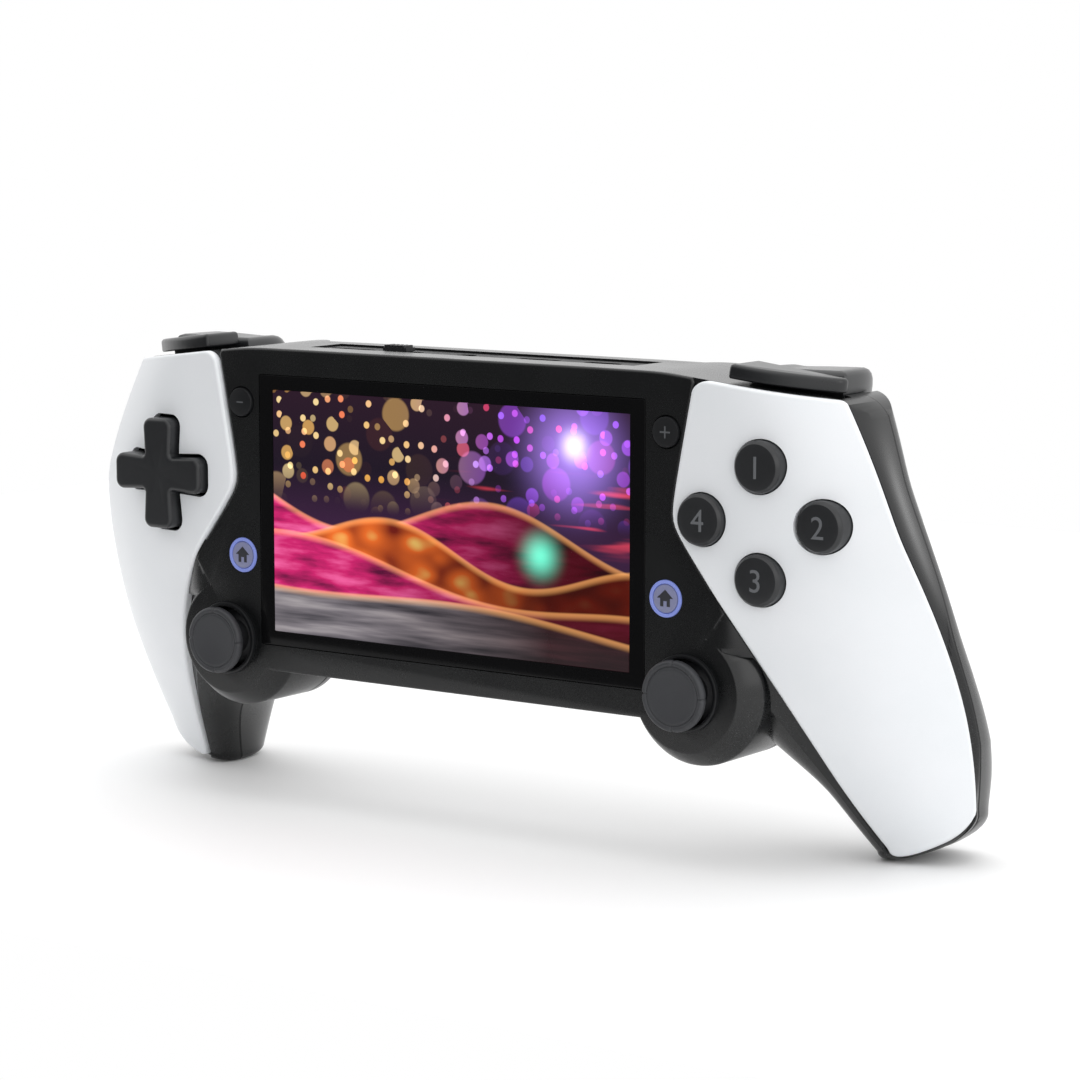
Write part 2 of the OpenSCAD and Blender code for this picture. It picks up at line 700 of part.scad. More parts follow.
// Small buttons: a cap in the face, a flange behind it and a plunger that reaches the button board
plunger_end = button_board_y - small_travel - 0.3;
module small_button(s, z, r, front) {
  color(key_black) place() on_side(s) {
    cone_y(key_x, z, r - 0.4, r, front, front + 0.4);
    bar_y(key_x, z, r, front + 0.4, plate_t + 0.8);
    bar_y(key_x, z, r + 0.5, plate_t + run_gap, plate_t + run_gap + 0.9);
    bar_y(key_x, z, 1.2, plate_t + 0.8, plunger_end);
  }
}
module minus_button() { small_button(-1, minus_z, small_button_r, -0.6); }
module plus_button() { small_button(1, minus_z, small_button_r, -0.6); }
module left_lit_button() { small_button(-1, lit_z, lit_button_r, -0.2); }
module right_lit_button() { small_button(1, lit_z, lit_button_r, -0.2); }
module light_ring(s) {
  color("#8f9cf0") place() on_side(s) tube_y(key_x, lit_z, lit_button_r + 0.15, ring_r, -0.25, plate_t);
}
module left_light_ring() { light_ring(-1); }
module right_light_ring() { light_ring(1); }

// Thumb stick: cap, neck, dust dome and shaft turn in a yoke, which turns in the module
neck_r = 3.2;
stick_dome_r = stick_cap_r + 1.1;
stick_dome_t = 0.8;
shaft_r = 1.8;
yoke_in_r = 4;
yoke_out_r = 5.2;
yoke_half = 1.1;
yoke_pin_r = 0.8;
module_wall_x0 = 5.9;
module_wall_x1 = 7.1;
module at_stick(s) {
  color(rubber_grey) place() on_side(s) translate([stick_x, stick_pivot_y, stick_z]) children();
}
module stick(s) {
  at_stick(s) {
    difference() {
      bar_y(0, 0, stick_cap_r, cap_front - stick_pivot_y, cap_back - stick_pivot_y);
      translate([0, cap_front - stick_pivot_y - 23.4, 0]) sphere(24, $fn = 96);
    }
    bar_y(0, 0, neck_r, cap_back - stick_pivot_y - 0.2, -stick_dome_r + 0.4);
    difference() {
      sphere(stick_dome_r);
      sphere(stick_dome_r - stick_dome_t);
      translate([-over, -stick_pivot_y / 2, -over]) cube(2 * over);
    }
    bar_y(0, 0, shaft_r, -stick_dome_r + 0.4, 1.5);
    translate([0, 0, -yoke_in_r - 0.5]) cylinder(r = yoke_pin_r, h = 2 * yoke_in_r + 1);
  }
}
module stick_yoke(s) {
  at_stick(s) {
    difference() {
      tube_y(0, 0, yoke_in_r, yoke_out_r, -yoke_half, yoke_half);
      translate([0, 0, -over]) cylinder(r = yoke_pin_r + pin_gap, h = 2 * over);
    }
    for (k = [-1, 1]) bar_x(0, 0, yoke_pin_r, k > 0 ? yoke_out_r - 0.3 : -module_wall_x1 + 0.2,
      k > 0 ? module_wall_x1 - 0.2 : 0.3 - yoke_out_r);
  }
}
module stick_module(s) {
  base = module_base_y - stick_pivot_y;
  at_stick(s) {
    bar_y(0, 0, post_ring_r + post_r, base, base + module_base_t);
    difference() {
      for (k = [-1, 1]) block([k > 0 ? module_wall_x0 : -module_wall_x1, -yoke_half - 0.2, -2.4],
        [k > 0 ? module_wall_x1 : -module_wall_x0, base + 0.3, 2.4]);
      bar_x(0, 0, yoke_pin_r + pin_gap, -over, over);
    }
  }
}
module stick_ring(s) {
  color("#1c1d1e") place() on_side(s) {
    tube_y(stick_x, stick_z, collar_in_r, collar_out_r, collar_front, 0);
    tube_y(stick_x, stick_z, collar_in_r, stick_hole_r - 0.05, -0.2, plate_t);
  }
}
module left_stick() { stick(-1); }
module right_stick() { stick(1); }
module left_stick_yoke() { stick_yoke(-1); }
module right_stick_yoke() { stick_yoke(1); }
module left_stick_module() { stick_module(-1); }
module right_stick_module() { stick_module(1); }
module left_stick_ring() { stick_ring(-1); }
module right_stick_ring() { stick_ring(1); }

// Bumper: a slanted bar over the panel's top edge, on two lugs
function bumper_front(u) = 3.4 + 9 * u * u;
lug_w = 3;
module bumper(s) {
  outline = concat(
    [for (i = [0:12]) [bumper_x0 + bumper_w * i / 12, bumper_front(i / 12)]],
    [[bumper_x0 + bumper_w, bumper_back], [bumper_x0, bumper_back]]);
  color(shell_black) place() on_side(s) at_shoulder() difference() {
    union() {
      translate([0, 0, bumper_gap]) linear_extrude(bumper_t - 0.6) polygon(outline);
      translate([0, 0, bumper_gap + bumper_t - 0.6]) linear_extrude(0.6)
        polygon([for (p = outline)
          [p[0] * 0.96 + 0.04 * (bumper_x0 + bumper_w / 2), p[1] * 0.94 + 0.06 * bumper_back]]);
      for (x = [bumper_x0 + 1, bumper_x0 + bumper_w - lug_w - 2.6])
        block([x, lug_front, bumper_pin_z - 1.7], [x + lug_w, lug_back, bumper_gap + 0.5]);
    }
    bar_x(bumper_pin_y, bumper_pin_z, bumper_pin_r + pin_gap, -over, 2 * over);
  }
}
module left_bumper() { bumper(-1); }
module right_bumper() { bumper(1); }
module bumper_pin(s) {
  color(steel) place() on_side(s) at_shoulder()
    bar_x(bumper_pin_y, bumper_pin_z, bumper_pin_r, bumper_pocket_x0 - 1.2, bumper_pocket_x1 + 1.2);
}
module left_bumper_pin() { bumper_pin(-1); }
module right_bumper_pin() { bumper_pin(1); }

// Trigger: a paddle with a round plan, curved down at the back, on a pin with a return spring
trigger_top = 3;
spring_w = 5;
spring_r = 2.3;
trigger_plan = concat([[trigger_x0, trigger_front]], [for (i = [0:24]) let (a = 180 - 180 * i / 24)
    [trigger_x0 + trigger_w / 2 * (1 + sign(cos(a)) * pow(abs(cos(a)), 0.7)),
     trigger_front + 2 + (trigger_d - 2) * pow(sin(a), 0.7)]],
  [[trigger_x0 + trigger_w, trigger_front]]);
trigger_heel = trigger_front + trigger_d;
trigger_side = concat(
  [[trigger_front, -4], [trigger_front, trigger_top - 0.6], [trigger_front + 0.6, trigger_top]],
  [for (a = [90:-15:0]) [trigger_heel - 7 + 7 * cos(a), trigger_top - 6 + 6 * sin(a)]],
  [[trigger_heel - 1, -3.6], [trigger_front + 6, -5.4], [trigger_front + 1.2, -5.4]]);
module trigger(s) {
  mid = trigger_x0 + trigger_w / 2;
  color(shell_black) place() on_side(s) at_shoulder() difference() {
    intersection() {
      translate([trigger_x0, 0, 0]) rotate([90, 0, 90]) linear_extrude(trigger_w) polygon(trigger_side);
      translate([0, 0, -10]) linear_extrude(20) polygon(trigger_plan);
    }
    bar_x(trigger_pin_y, trigger_pin_z, trigger_pin_r + pin_gap, -over, 2 * over);
    block([mid - spring_w / 2 - 0.3, trigger_front - past, -6],
      [mid + spring_w / 2 + 0.3, trigger_pin_y + 3.4, 0]);
  }
}
module left_trigger() { trigger(-1); }
module right_trigger() { trigger(1); }
module trigger_pin(s) {
  color(steel) place() on_side(s) at_shoulder()
    bar_x(trigger_pin_y, trigger_pin_z, trigger_pin_r, pocket_x0 - 1.2, pocket_x1 + 1.2);
}
module left_trigger_pin() { trigger_pin(-1); }
module right_trigger_pin() { trigger_pin(1); }
module trigger_spring(s) {
  x0 = trigger_x0 + trigger_w / 2 - spring_w / 2;
  color("#8a8d90") place() on_side(s) at_shoulder() difference() {
    bar_x(trigger_pin_y, trigger_pin_z, spring_r, x0, x0 + spring_w);
    bar_x(trigger_pin_y, trigger_pin_z, trigger_pin_r + 0.2, x0 - past, x0 + spring_w + past);
  }
}
module left_trigger_spring() { trigger_spring(-1); }
module right_trigger_spring() { trigger_spring(1); }

// Sockets in the top strip
module mouth(x, size, grow) {
  block([x - size[0] / 2 - grow, strip_mid_y - size[1] / 2 - grow, strip_low - past],
    [x + size[0] / 2 + grow, strip_mid_y + size[1] / 2 + grow, face_top + past]);
}
module socket_strip() {
  color("#2f3133") place() difference() {
    block([-strip_w / 2, strip_y0, strip_low], [strip_w / 2, strip_y0 + strip_d, strip_top]);
    mouth(card_x, card_mouth, 0);
    mouth(video_x, video_mouth, 0);
    mouth(charge_x, charge_mouth, 0);
    mouth(switch_x, switch_mouth, 0);
    translate([jack_x, strip_mid_y, strip_low - past]) cylinder(r = jack_r + 0.7, h = 10);
  }
}
module socket_board() {
  color(board_green) place() difference() {
    block([2 - strip_w / 2, strip_y0 + 3.2, socket_board_z],
      [strip_w / 2 - 2, strip_y0 + strip_d - 1, socket_board_z + socket_board_t]);
    block([jack_x - jack_half - 0.2, strip_y0, socket_board_z - past],
      [jack_x + jack_half + 0.2, strip_mid_y + jack_half + 0.2, socket_board_z + 3]);
  }
}
// A metal socket shell that stands on the socket board and ends under the strip
module socket_shell(x, size, skin) {
  floor_z = socket_board_z + socket_board_t;
  color(steel) place() difference() {
    block([x - size[0] / 2 - skin, strip_mid_y - size[1] / 2 - skin, floor_z],
      [x + size[0] / 2 + skin, strip_mid_y + size[1] / 2 + skin, strip_low]);
    block([x - size[0] / 2, strip_mid_y - size[1] / 2, floor_z + 0.8],
      [x + size[0] / 2, strip_mid_y + size[1] / 2, face_top]);
  }
}
module charge_socket() { socket_shell(charge_x, charge_mouth, 0.4); }
module video_socket() { socket_shell(video_x, video_mouth, 0.4); }
module card_socket() { socket_shell(card_x, card_mouth, 0.8); }
module headphone_socket() {
  color("#202224") place() difference() {
    block([jack_x - jack_half, strip_mid_y - jack_half, strip_low - jack_len],
      [jack_x + jack_half, strip_mid_y + jack_half, strip_low]);
    translate([jack_x, strip_mid_y, strip_low - jack_len - past])
      cylinder(r = jack_r, h = jack_len + 2 * past);
  }
}
module switch_body() {
  floor_z = socket_board_z + socket_board_t;
  color(steel) place() difference() {
    block([switch_x - 6, strip_mid_y - 2, floor_z], [switch_x + 6, strip_mid_y + 2, strip_low - 0.4]);
    block([switch_x - switch_mouth[0] / 2, strip_mid_y - 1.2, floor_z + 1.6],
      [switch_x + switch_mouth[0] / 2, strip_mid_y + 1.2, face_top]);
  }
}
slider_rise = 1;
module power_slider() {
  x0 = switch_x - switch_mouth[0] / 2 + 0.3;
  color(key_black) place() {
    block([x0, strip_mid_y - slider_stem[1] / 2, socket_board_z + socket_board_t + 2],
      [x0 + slider_stem[0], strip_mid_y + slider_stem[1] / 2, strip_top + 0.4]);
    block([x0 - 0.2, strip_mid_y - 1.6, strip_top + 0.15],
      [x0 + slider_stem[0] + 0.2, strip_mid_y + 1.6, face_top + 0.5]);
    for (i = [0:4]) block([x0 + 0.2 + i * 1.2, strip_mid_y - 1.6, face_top + 0.3],
      [x0 + 0.8 + i * 1.2, strip_mid_y + 1.6, face_top + slider_rise]);
  }
}

front_shell();
rear_shell();
left_panel();
right_panel();
screen_lens();
screen_gasket();
display_panel();
main_board();
battery();
left_speaker();
right_speaker();
left_button_board();
right_button_board();
dpad_membrane();
face_membrane();
dpad_post();
dpad_pivot();
dpad();
face_button_1();
face_button_2();
face_button_3();
face_button_4();
minus_button();
plus_button();
left_light_ring();
right_light_ring();
left_lit_button();
right_lit_button();
left_stick_ring();
right_stick_ring();
left_stick_module();
right_stick_module();
left_stick_yoke();
right_stick_yoke();
left_stick();
right_stick();
left_bumper();
right_bumper();
left_bumper_pin();
right_bumper_pin();
left_trigger();
right_trigger();
left_trigger_pin();
right_trigger_pin();
left_trigger_spring();
right_trigger_spring();
socket_strip();
socket_board();
charge_socket();
video_socket();
headphone_socket();
card_socket();
switch_body();
power_slider();
case_screws();
board_screws();
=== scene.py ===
# %% [markdown]
# # A handheld game console
# The real thing is a moulded case round a screen, with two grips, white front panels, sticks, buttons
# and shoulder keys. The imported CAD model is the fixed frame: every piece below is placed from its
# boxes, so the keys stay on their joints. Lengths in this lesson are in millimetres from the middle
# of the screen, with X to the right, Y to the back and Z up. One function turns them into the frame's
# metres.

# %% Load the frame
import json
import math
from functools import partial

import bmesh
import bpy
import numpy as np
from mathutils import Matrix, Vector

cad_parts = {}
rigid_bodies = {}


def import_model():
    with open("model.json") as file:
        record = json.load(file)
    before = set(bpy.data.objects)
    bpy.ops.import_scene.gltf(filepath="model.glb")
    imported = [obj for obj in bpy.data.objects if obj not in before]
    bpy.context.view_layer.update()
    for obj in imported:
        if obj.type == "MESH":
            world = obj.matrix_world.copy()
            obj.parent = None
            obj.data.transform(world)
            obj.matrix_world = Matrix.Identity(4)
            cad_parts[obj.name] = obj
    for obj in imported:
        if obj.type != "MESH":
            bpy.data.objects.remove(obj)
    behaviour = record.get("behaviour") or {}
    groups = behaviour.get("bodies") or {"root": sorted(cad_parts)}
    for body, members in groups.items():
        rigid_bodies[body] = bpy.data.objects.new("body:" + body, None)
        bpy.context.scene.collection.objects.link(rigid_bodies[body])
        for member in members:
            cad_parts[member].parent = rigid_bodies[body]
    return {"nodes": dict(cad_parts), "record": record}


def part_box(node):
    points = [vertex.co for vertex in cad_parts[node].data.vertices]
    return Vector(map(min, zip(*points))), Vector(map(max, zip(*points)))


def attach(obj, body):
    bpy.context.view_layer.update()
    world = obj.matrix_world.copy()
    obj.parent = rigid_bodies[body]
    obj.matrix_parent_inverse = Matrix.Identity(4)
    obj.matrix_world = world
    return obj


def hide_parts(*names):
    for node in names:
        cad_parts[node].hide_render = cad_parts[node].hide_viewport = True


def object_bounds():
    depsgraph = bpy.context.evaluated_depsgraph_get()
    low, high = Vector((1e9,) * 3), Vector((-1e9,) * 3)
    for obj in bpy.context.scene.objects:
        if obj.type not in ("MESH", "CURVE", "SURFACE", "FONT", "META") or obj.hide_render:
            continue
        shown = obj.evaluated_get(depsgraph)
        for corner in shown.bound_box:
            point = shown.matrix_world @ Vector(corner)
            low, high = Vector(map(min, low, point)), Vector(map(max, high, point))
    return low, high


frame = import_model()
cad_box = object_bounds()
scene = bpy.context.scene
lens_low, lens_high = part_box("screen_lens")
HOME = np.array([0.0, lens_low.y, (lens_low.z + lens_high.z) / 2])
MM = 0.001
SIDES = ((-1, "left"), (1, "right"))


def add(name, data):
    """A new object in the scene."""
    made = bpy.data.objects.new(name, data)
    scene.collection.objects.link(made)
    return made


def span(name):
    """A node's lowest and highest corners in millimetres from the middle of the screen."""
    low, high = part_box(name)
    return (np.array(low) - HOME) / MM, (np.array(high) - HOME) / MM


def front_back(name):
    """A node's foremost and rearmost Y."""
    low, high = span(name)
    return low[1], high[1]


print("nodes", len(frame["nodes"]), "box", [round(v, 4) for v in (*cad_box[0], *cad_box[1])])

# %% [markdown]
# The picture was taken with a long lens from the right and a little above. A camera could be pushed
# about until it looks right. Here the turn, the drop and the distance were worked out from the
# screen's corners first, so shapes can be compared with the picture edge by edge. The colour view is
# Standard, which keeps white paper white.

# %% Camera
VIEW_TURN = math.radians(35.1)
VIEW_DROP = math.radians(7.74)
VIEW_DISTANCE = 0.7356
AIM = Vector(HOME + np.array([16.8, 11.5, -2.8]) * MM)
forward = Vector((
    -math.sin(VIEW_TURN) * math.cos(VIEW_DROP),
    math.cos(VIEW_TURN) * math.cos(VIEW_DROP),
    -math.sin(VIEW_DROP),
))
camera_data = bpy.data.cameras.new("photo_camera")
camera_data.lens = 114.4
camera_data.sensor_width = 36
camera_data.clip_start = 0.01
camera = add("photo_camera", camera_data)
camera.location = AIM - forward * VIEW_DISTANCE
camera.rotation_euler = forward.to_track_quat("-Z", "Y").to_euler()
scene.camera = camera
scene.view_settings.view_transform = "Standard"
print("camera", [round(v, 3) for v in camera.location])

# %% [markdown]
# Black plastic shows little but reflections, so the light matters more than its colour. The world is
# a plain white tent. Where the flat face would mirror it into the lens, a soft dark flag hangs, as a
# photographer would hang one, so the face stays deep black while every rounded edge picks up a grey
# gradient. Soft boxes above and at both sides add some shape. The camera itself sees the tent as
# clean white.


# %% Studio light
def node(tree, kind, links=None, **settings):
    """Add a shader node; links gives each input a socket or a value."""
    made = tree.nodes.new("ShaderNode" + kind)
    for key, value in settings.items():
        setattr(made, key, value)
    for socket, value in (links or {}).items():
        if isinstance(value, bpy.types.NodeSocket):
            tree.links.new(value, made.inputs[socket])
        else:
            made.inputs[socket].default_value = value
    return made


FLAG_WAY = (-0.57, -0.81, -0.1)
FLAG_EDGE, FLAG_HEART = 0.42, 0.9
TENT_LIGHT, FLAG_LIGHT = 1.24, 0.16
world = bpy.data.worlds.new("white_studio")
world.use_nodes = True
scene.world = world
sky = world.node_tree
sky.nodes.clear()
seen = node(sky, "LightPath").outputs["Is Camera Ray"]
way = node(sky, "TexCoord").outputs["Generated"]
towards = node(sky, "VectorMath", {0: way, 1: FLAG_WAY}, operation="DOT_PRODUCT").outputs["Value"]
tent = node(sky, "MapRange", {0: towards, 1: FLAG_EDGE, 2: FLAG_HEART, 3: TENT_LIGHT, 4: FLAG_LIGHT},
            interpolation_type="SMOOTHSTEP")
strength = node(sky, "Mix", {0: seen, 2: tent.outputs[0], 3: 1.0})
backing = node(sky, "Background", {"Color": (1, 1, 1, 1), "Strength": strength.outputs[0]})
node(sky, "OutputWorld", {"Surface": backing.outputs[0]})


def soft_box(name, place, size, power):
    """An area light at place, aimed at the middle of the console."""
    light = bpy.data.lights.new(name, "AREA")
    light.shape = "RECTANGLE"
    light.size, light.size_y = size
    light.energy = power
    lamp = add(name, light)
    lamp.location = Vector(HOME) + Vector(place)
    lamp.rotation_euler = (-Vector(place)).to_track_quat("-Z", "Y").to_euler()


soft_box("top_box", (0.1, 0.1, 1.1), (1.6, 1.2), 3)
soft_box("left_box", (-1.1, -0.3, 0.5), (0.7, 0.9), 1.5)
soft_box("right_box", (1.1, -0.3, 0.5), (0.7, 0.9), 2)

# %% [markdown]
# Most parts of the case are injection-moulded plastic with a fine spark-eroded grain, plus a slow
# change in gloss where hands and the mould left their mark. An image texture could show it, but two
# small noise layers in a node group do it without one, and each material sets its own scale.

# %% Grain as a shared node group
GRAIN_SCALE = 4000.0
CLOUD_SCALE = 60.0
PIT_SHARE = 0.35


def calc(tree, operation, a, b=0.0):
    """One Math node; gives its output."""
    return node(tree, "Math", {0: a, 1: b}, operation=operation).outputs[0]


def new_group(name, inputs, outputs):
    """A shader node group with number inputs and the outputs named."""
    tree = bpy.data.node_groups.new(name, "ShaderNodeTree")
    for label, value in inputs:
        socket = tree.interface.new_socket(name=label, in_out="INPUT", socket_type="NodeSocketFloat")
        socket.default_value = value
    for label in outputs:
        tree.interface.new_socket(name=label, in_out="OUTPUT", socket_type="NodeSocketFloat")
    return tree, tree.nodes.new("NodeGroupInput").outputs, tree.nodes.new("NodeGroupOutput").inputs


grain, grain_in, grain_out = new_group(
    "moulded_grain", [("Scale", GRAIN_SCALE), ("Cloud", CLOUD_SCALE)], ["Height", "Gloss"])
where = node(grain, "TexCoord").outputs["Object"]
pits = node(grain, "TexNoise", {"Vector": where, "Scale": grain_in["Scale"], "Detail": 2.0}).outputs[0]
clouds = node(grain, "TexNoise", {"Vector": where, "Scale": grain_in["Cloud"], "Detail": 3.0}).outputs[0]
shine = calc(grain, "MULTIPLY", pits, PIT_SHARE)
shine = calc(grain, "ADD", shine, calc(grain, "MULTIPLY", clouds, 1 - PIT_SHARE))
grain.links.new(pits, grain_out["Height"])
grain.links.new(shine, grain_out["Gloss"])
print("group", grain.name, [s.name for s in grain.interface.items_tree])

# %% [markdown]
# A moulded finish is one recipe with different numbers: a base colour and a slightly different one
# where the cloud is strong, a range of roughness, and the depth of the grain. The shader itself stays
# in the material.

# %% Moulded plastic, rubber and metal
TONE_LOW, TONE_HIGH = 0.35, 0.65
BUMP_DISTANCE = 0.0002


def linear(code):
    """A colour code such as #303234 as linear red, green, blue and 1."""
    parts = [int(code[i:i + 2], 16) / 255 for i in (1, 3, 5)]
    return (*[v / 12.92 if v < 0.04045 else ((v + 0.055) / 1.055) ** 2.4 for v in parts], 1.0)


def new_material(name):
    """A material and its cleared node tree."""
    material = bpy.data.materials.new(name)
    material.use_nodes = True
    material.node_tree.nodes.clear()
    return material, material.node_tree


def moulded(name, colour, other, gloss, scale=GRAIN_SCALE, depth=0.02, cloud=CLOUD_SCALE, **shader):
    """A material from the shared grain; gloss is the range of roughness."""
    material, tree = new_material(name)
    use = tree.nodes.new("ShaderNodeGroup")
    use.node_tree = grain
    use.inputs["Scale"].default_value = scale
    use.inputs["Cloud"].default_value = cloud
    tone = node(tree, "MapRange", {0: use.outputs["Gloss"], 1: TONE_LOW, 2: TONE_HIGH}).outputs[0]
    paint = node(tree, "Mix", {0: tone, 6: linear(colour), 7: linear(other)}, data_type="RGBA")
    rough = node(tree, "MapRange", {0: tone, 3: gloss[0], 4: gloss[1]})
    bump = node(tree, "Bump", {
        "Height": use.outputs["Height"], "Strength": depth, "Distance": BUMP_DISTANCE,
    })
    surface = node(tree, "BsdfPrincipled", {
        "Base Color": paint.outputs[2], "Roughness": rough.outputs[0], "Normal": bump.outputs[0],
        **{key.replace("_", " "): value for key, value in shader.items()},
    })
    node(tree, "OutputMaterial", {"Surface": surface.outputs[0]})
    return material


SHELL_BLACK = moulded("shell_black", "#0C0D0E", "#101112", (0.24, 0.3), Specular_IOR_Level=0.46)
PANEL_WHITE = moulded("panel_white", "#E2E5E8", "#E6E8EB", (0.30, 0.36), depth=0.01, Specular_IOR_Level=0.5)
print("finishes", SHELL_BLACK.name, PANEL_WHITE.name)

# %% [markdown]
# Every piece is built from a few plain ideas: a skin over rings of points, a turned profile, and an
# outline stacked in rows that are pulled in towards the edges, which is how a moulded edge gets its
# radius. Subdivision could round the edges too, but rows keep flat faces flat and the sizes exact.


# %% Skins and turned shapes
def make(name, verts, faces):
    """A mesh object from points in millimetres, with its faces turned outwards."""
    mesh = bpy.data.meshes.new(name)
    mesh.from_pydata((np.asarray(verts, float) * MM + HOME).tolist(), [], faces)
    work = bmesh.new()
    work.from_mesh(mesh)
    bmesh.ops.recalc_face_normals(work, faces=work.faces)
    work.to_mesh(mesh)
    work.free()
    return add(name, mesh)


def skin(name, rings, loop=False):
    """A closed skin through rings of equal count, with flat ends, or joined round when loop is set."""
    rings = np.asarray(rings, float)
    rows, count = rings.shape[:2]
    faces = []
    for j in range(rows if loop else rows - 1):
        for i in range(count):
            a, b = j * count, (j + 1) % rows * count
            k = (i + 1) % count
            faces.append((a + i, a + k, b + k, b + i))
    if not loop:
        faces.append(tuple(range(count)))
        faces.append(tuple(range((rows - 1) * count, rows * count)))
    return make(name, rings.reshape(-1, 3), faces)


def closed(name, face, back):
    """A closed slab between a grid of points and a second grid behind it."""
    rows, columns = face.shape[:2]
    index = np.arange(rows * columns).reshape(rows, columns)
    rim = [*index[0, :], *index[1:, -1], *index[-1, -2::-1], *index[-2:0:-1, 0]]
    faces = []
    for j in range(rows - 1):
        for i in range(columns - 1):
            quad = (index[j, i], index[j, i + 1], index[j + 1, i + 1], index[j + 1, i])
            faces.append(quad)
            faces.append(tuple(k + rows * columns for k in quad[::-1]))
    for a, b in zip(rim, rim[1:] + rim[:1]):
        faces.append((b, a, a + rows * columns, b + rows * columns))
    verts = np.concatenate([face.reshape(-1, 3), back.reshape(-1, 3)])
    return make(name, verts, [tuple(int(k) for k in f) for f in faces])


def full_turn(steps):
    """Angles of a whole turn in equal steps."""
    return np.linspace(0, 2 * np.pi, steps, endpoint=False)


def turned(name, profile, centre, steps=72, loop=False):
    """A turned shape about a Y axis through centre (x, z); profile is a list of (radius, y)."""
    x, z = centre
    around = [(math.cos(a), math.sin(a)) for a in full_turn(steps)]
    return skin(name, [[(x + r * c, y, z + r * s) for c, s in around] for r, y in profile], loop)


print("skins ready")


# %% Outlines with round corners, stacked in rows
def inset(outline, pull):
    """An outline with every side moved inwards by pull."""
    p = np.asarray(outline, float)
    turn = np.sign(np.sum(p[:, 0] * np.roll(p[:, 1], -1) - np.roll(p[:, 0], -1) * p[:, 1]))
    total = np.zeros_like(p)
    for side in (p - np.roll(p, 1, 0), np.roll(p, -1, 0) - p):
        total += turn * np.stack([-side[:, 1], side[:, 0]], 1) / np.linalg.norm(side, axis=1, keepdims=True)
    return p + 2 * pull * total / np.maximum(np.sum(total * total, 1, keepdims=True), 1)


def eased(points, radius, steps=6, share=0.48):
    """A polygon with round corners; radius is one number or one a corner, share the most of a side."""
    p = np.asarray(points, float)
    radii = radius if isinstance(radius, (list, tuple)) else [radius] * len(p)
    out = []
    for i, corner in enumerate(p):
        a = p[i - 1] - corner
        b = p[(i + 1) % len(p)] - corner
        cut = min(radii[i], share * np.linalg.norm(a), share * np.linalg.norm(b))
        first = corner + a / np.linalg.norm(a) * cut
        last = corner + b / np.linalg.norm(b) * cut
        for t in np.linspace(0, 1, steps + 1):
            weights = ((1 - t) ** 2, math.sqrt(2) * t * (1 - t), t * t)
            out.append((weights[0] * first + weights[1] * corner + weights[2] * last) / sum(weights))
    return np.array(out)


def edge_rows(front, back, front_r, back_r, steps=4):
    """Rows of (depth, pull) from front to back with both edges rounded."""
    turn = np.linspace(0, np.pi / 2, steps + 1)
    rows = [(front + front_r * (1 - math.cos(a)), front_r * (1 - math.sin(a))) for a in turn]
    rows += [(back - back_r * (1 - math.sin(a)), back_r * (1 - math.cos(a))) for a in turn]
    return [row for i, row in enumerate(rows) if i == 0 or abs(row[0] - rows[i - 1][0]) > 1e-6]


def facing(a, b, depth):
    """An outline seen from the front, stacked along Y."""
    return a, depth, b


def upright(a, b, depth):
    """An outline seen from above, stacked along Z."""
    return a, b, depth


def stack(name, outline, rows, place=facing):
    """An outline pulled in by each row and set at each row's depth."""
    return skin(name, [[place(a, b, depth) for a, b in inset(outline, pull)] for depth, pull in rows])


def oblong(x0, x1, z0, z1, radius=0.0):
    """A rectangle, with rounded corners when radius is set."""
    corners = [(x0, z0), (x1, z0), (x1, z1), (x0, z1)]
    return eased(corners, radius) if radius else np.array(corners, float)


def centred(x, z, radius):
    """A rounded rectangle about the middle of the screen."""
    return oblong(-x, x, -z, z, radius)


def block(x0, x1, y0, y1, z0, z1):
    """A plain block used as a cutter or a core."""
    return stack("block", oblong(x0, x1, z0, z1), [(y0, 0), (y1, 0)])


print("outlines ready")

# %% [markdown]
# Shells are several simple solids joined, with holes cut out, so booleans are the natural tool. The
# Manifold solver is quick and always gives a closed result. Each piece is then shaded smooth with
# sharp edges kept by angle, gets its finish and is tied to the body it moves with, and the CAD nodes
# that it stands for are hidden.


# %% Joining, cutting and settling
def final_mesh(item):
    """A mesh of the object with its modifiers applied."""
    graph = bpy.context.evaluated_depsgraph_get()
    return bpy.data.meshes.new_from_object(item.evaluated_get(graph))


def combine(piece, others, operation="DIFFERENCE"):
    """Join the others to the piece or cut them from it, and remove them."""
    for other in others:
        change = piece.modifiers.new("shape", "BOOLEAN")
        change.operation = operation
        change.solver = "MANIFOLD"
        change.object = other
        mesh = final_mesh(piece)
        piece.modifiers.clear()
        spent = (piece.data, other.data)
        piece.data = mesh
        bpy.data.objects.remove(other)
        bpy.data.batch_remove(spent)
    return piece


def settle(piece, name, body, slot, finish, *nodes, angle=32):
    """Name and shade a piece, tie it to a body and hide the CAD nodes that it stands for."""
    piece.name = name
    mesh = piece.data
    mesh.materials.clear()
    mesh.materials.append(finish)
    mesh.shade_smooth()
    mesh.set_sharp_from_angle(angle=math.radians(angle))
    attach(piece, body)
    if nodes:
        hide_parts(*nodes)
    print(f"{name}: {len(mesh.polygons)} faces on {body}")
    return piece


print("booleans ready")

# %% [markdown]
# The grips are the hardest shape: each is a wing whose front leans back from the screen to the
# outside, swells below and ends in a round tip. It is described level by level, as a shipwright would
# draw stations. At each height the front runs as one cubic from the inner edge to the outer edge, and
# the same few curves give the white panel, the black case under it and the back.

# %% Stations of the grip
KNEE_X, KNEE_Z = 58.4, 5.4
GRIP_REACH = 54
GRIP_DROP = 64
SEAM = 21
BACK = 24
TOP = 36.2
TIP_RISE = 8.2
TIP_START = -20
BEND_START = -10
WIDEST = -34


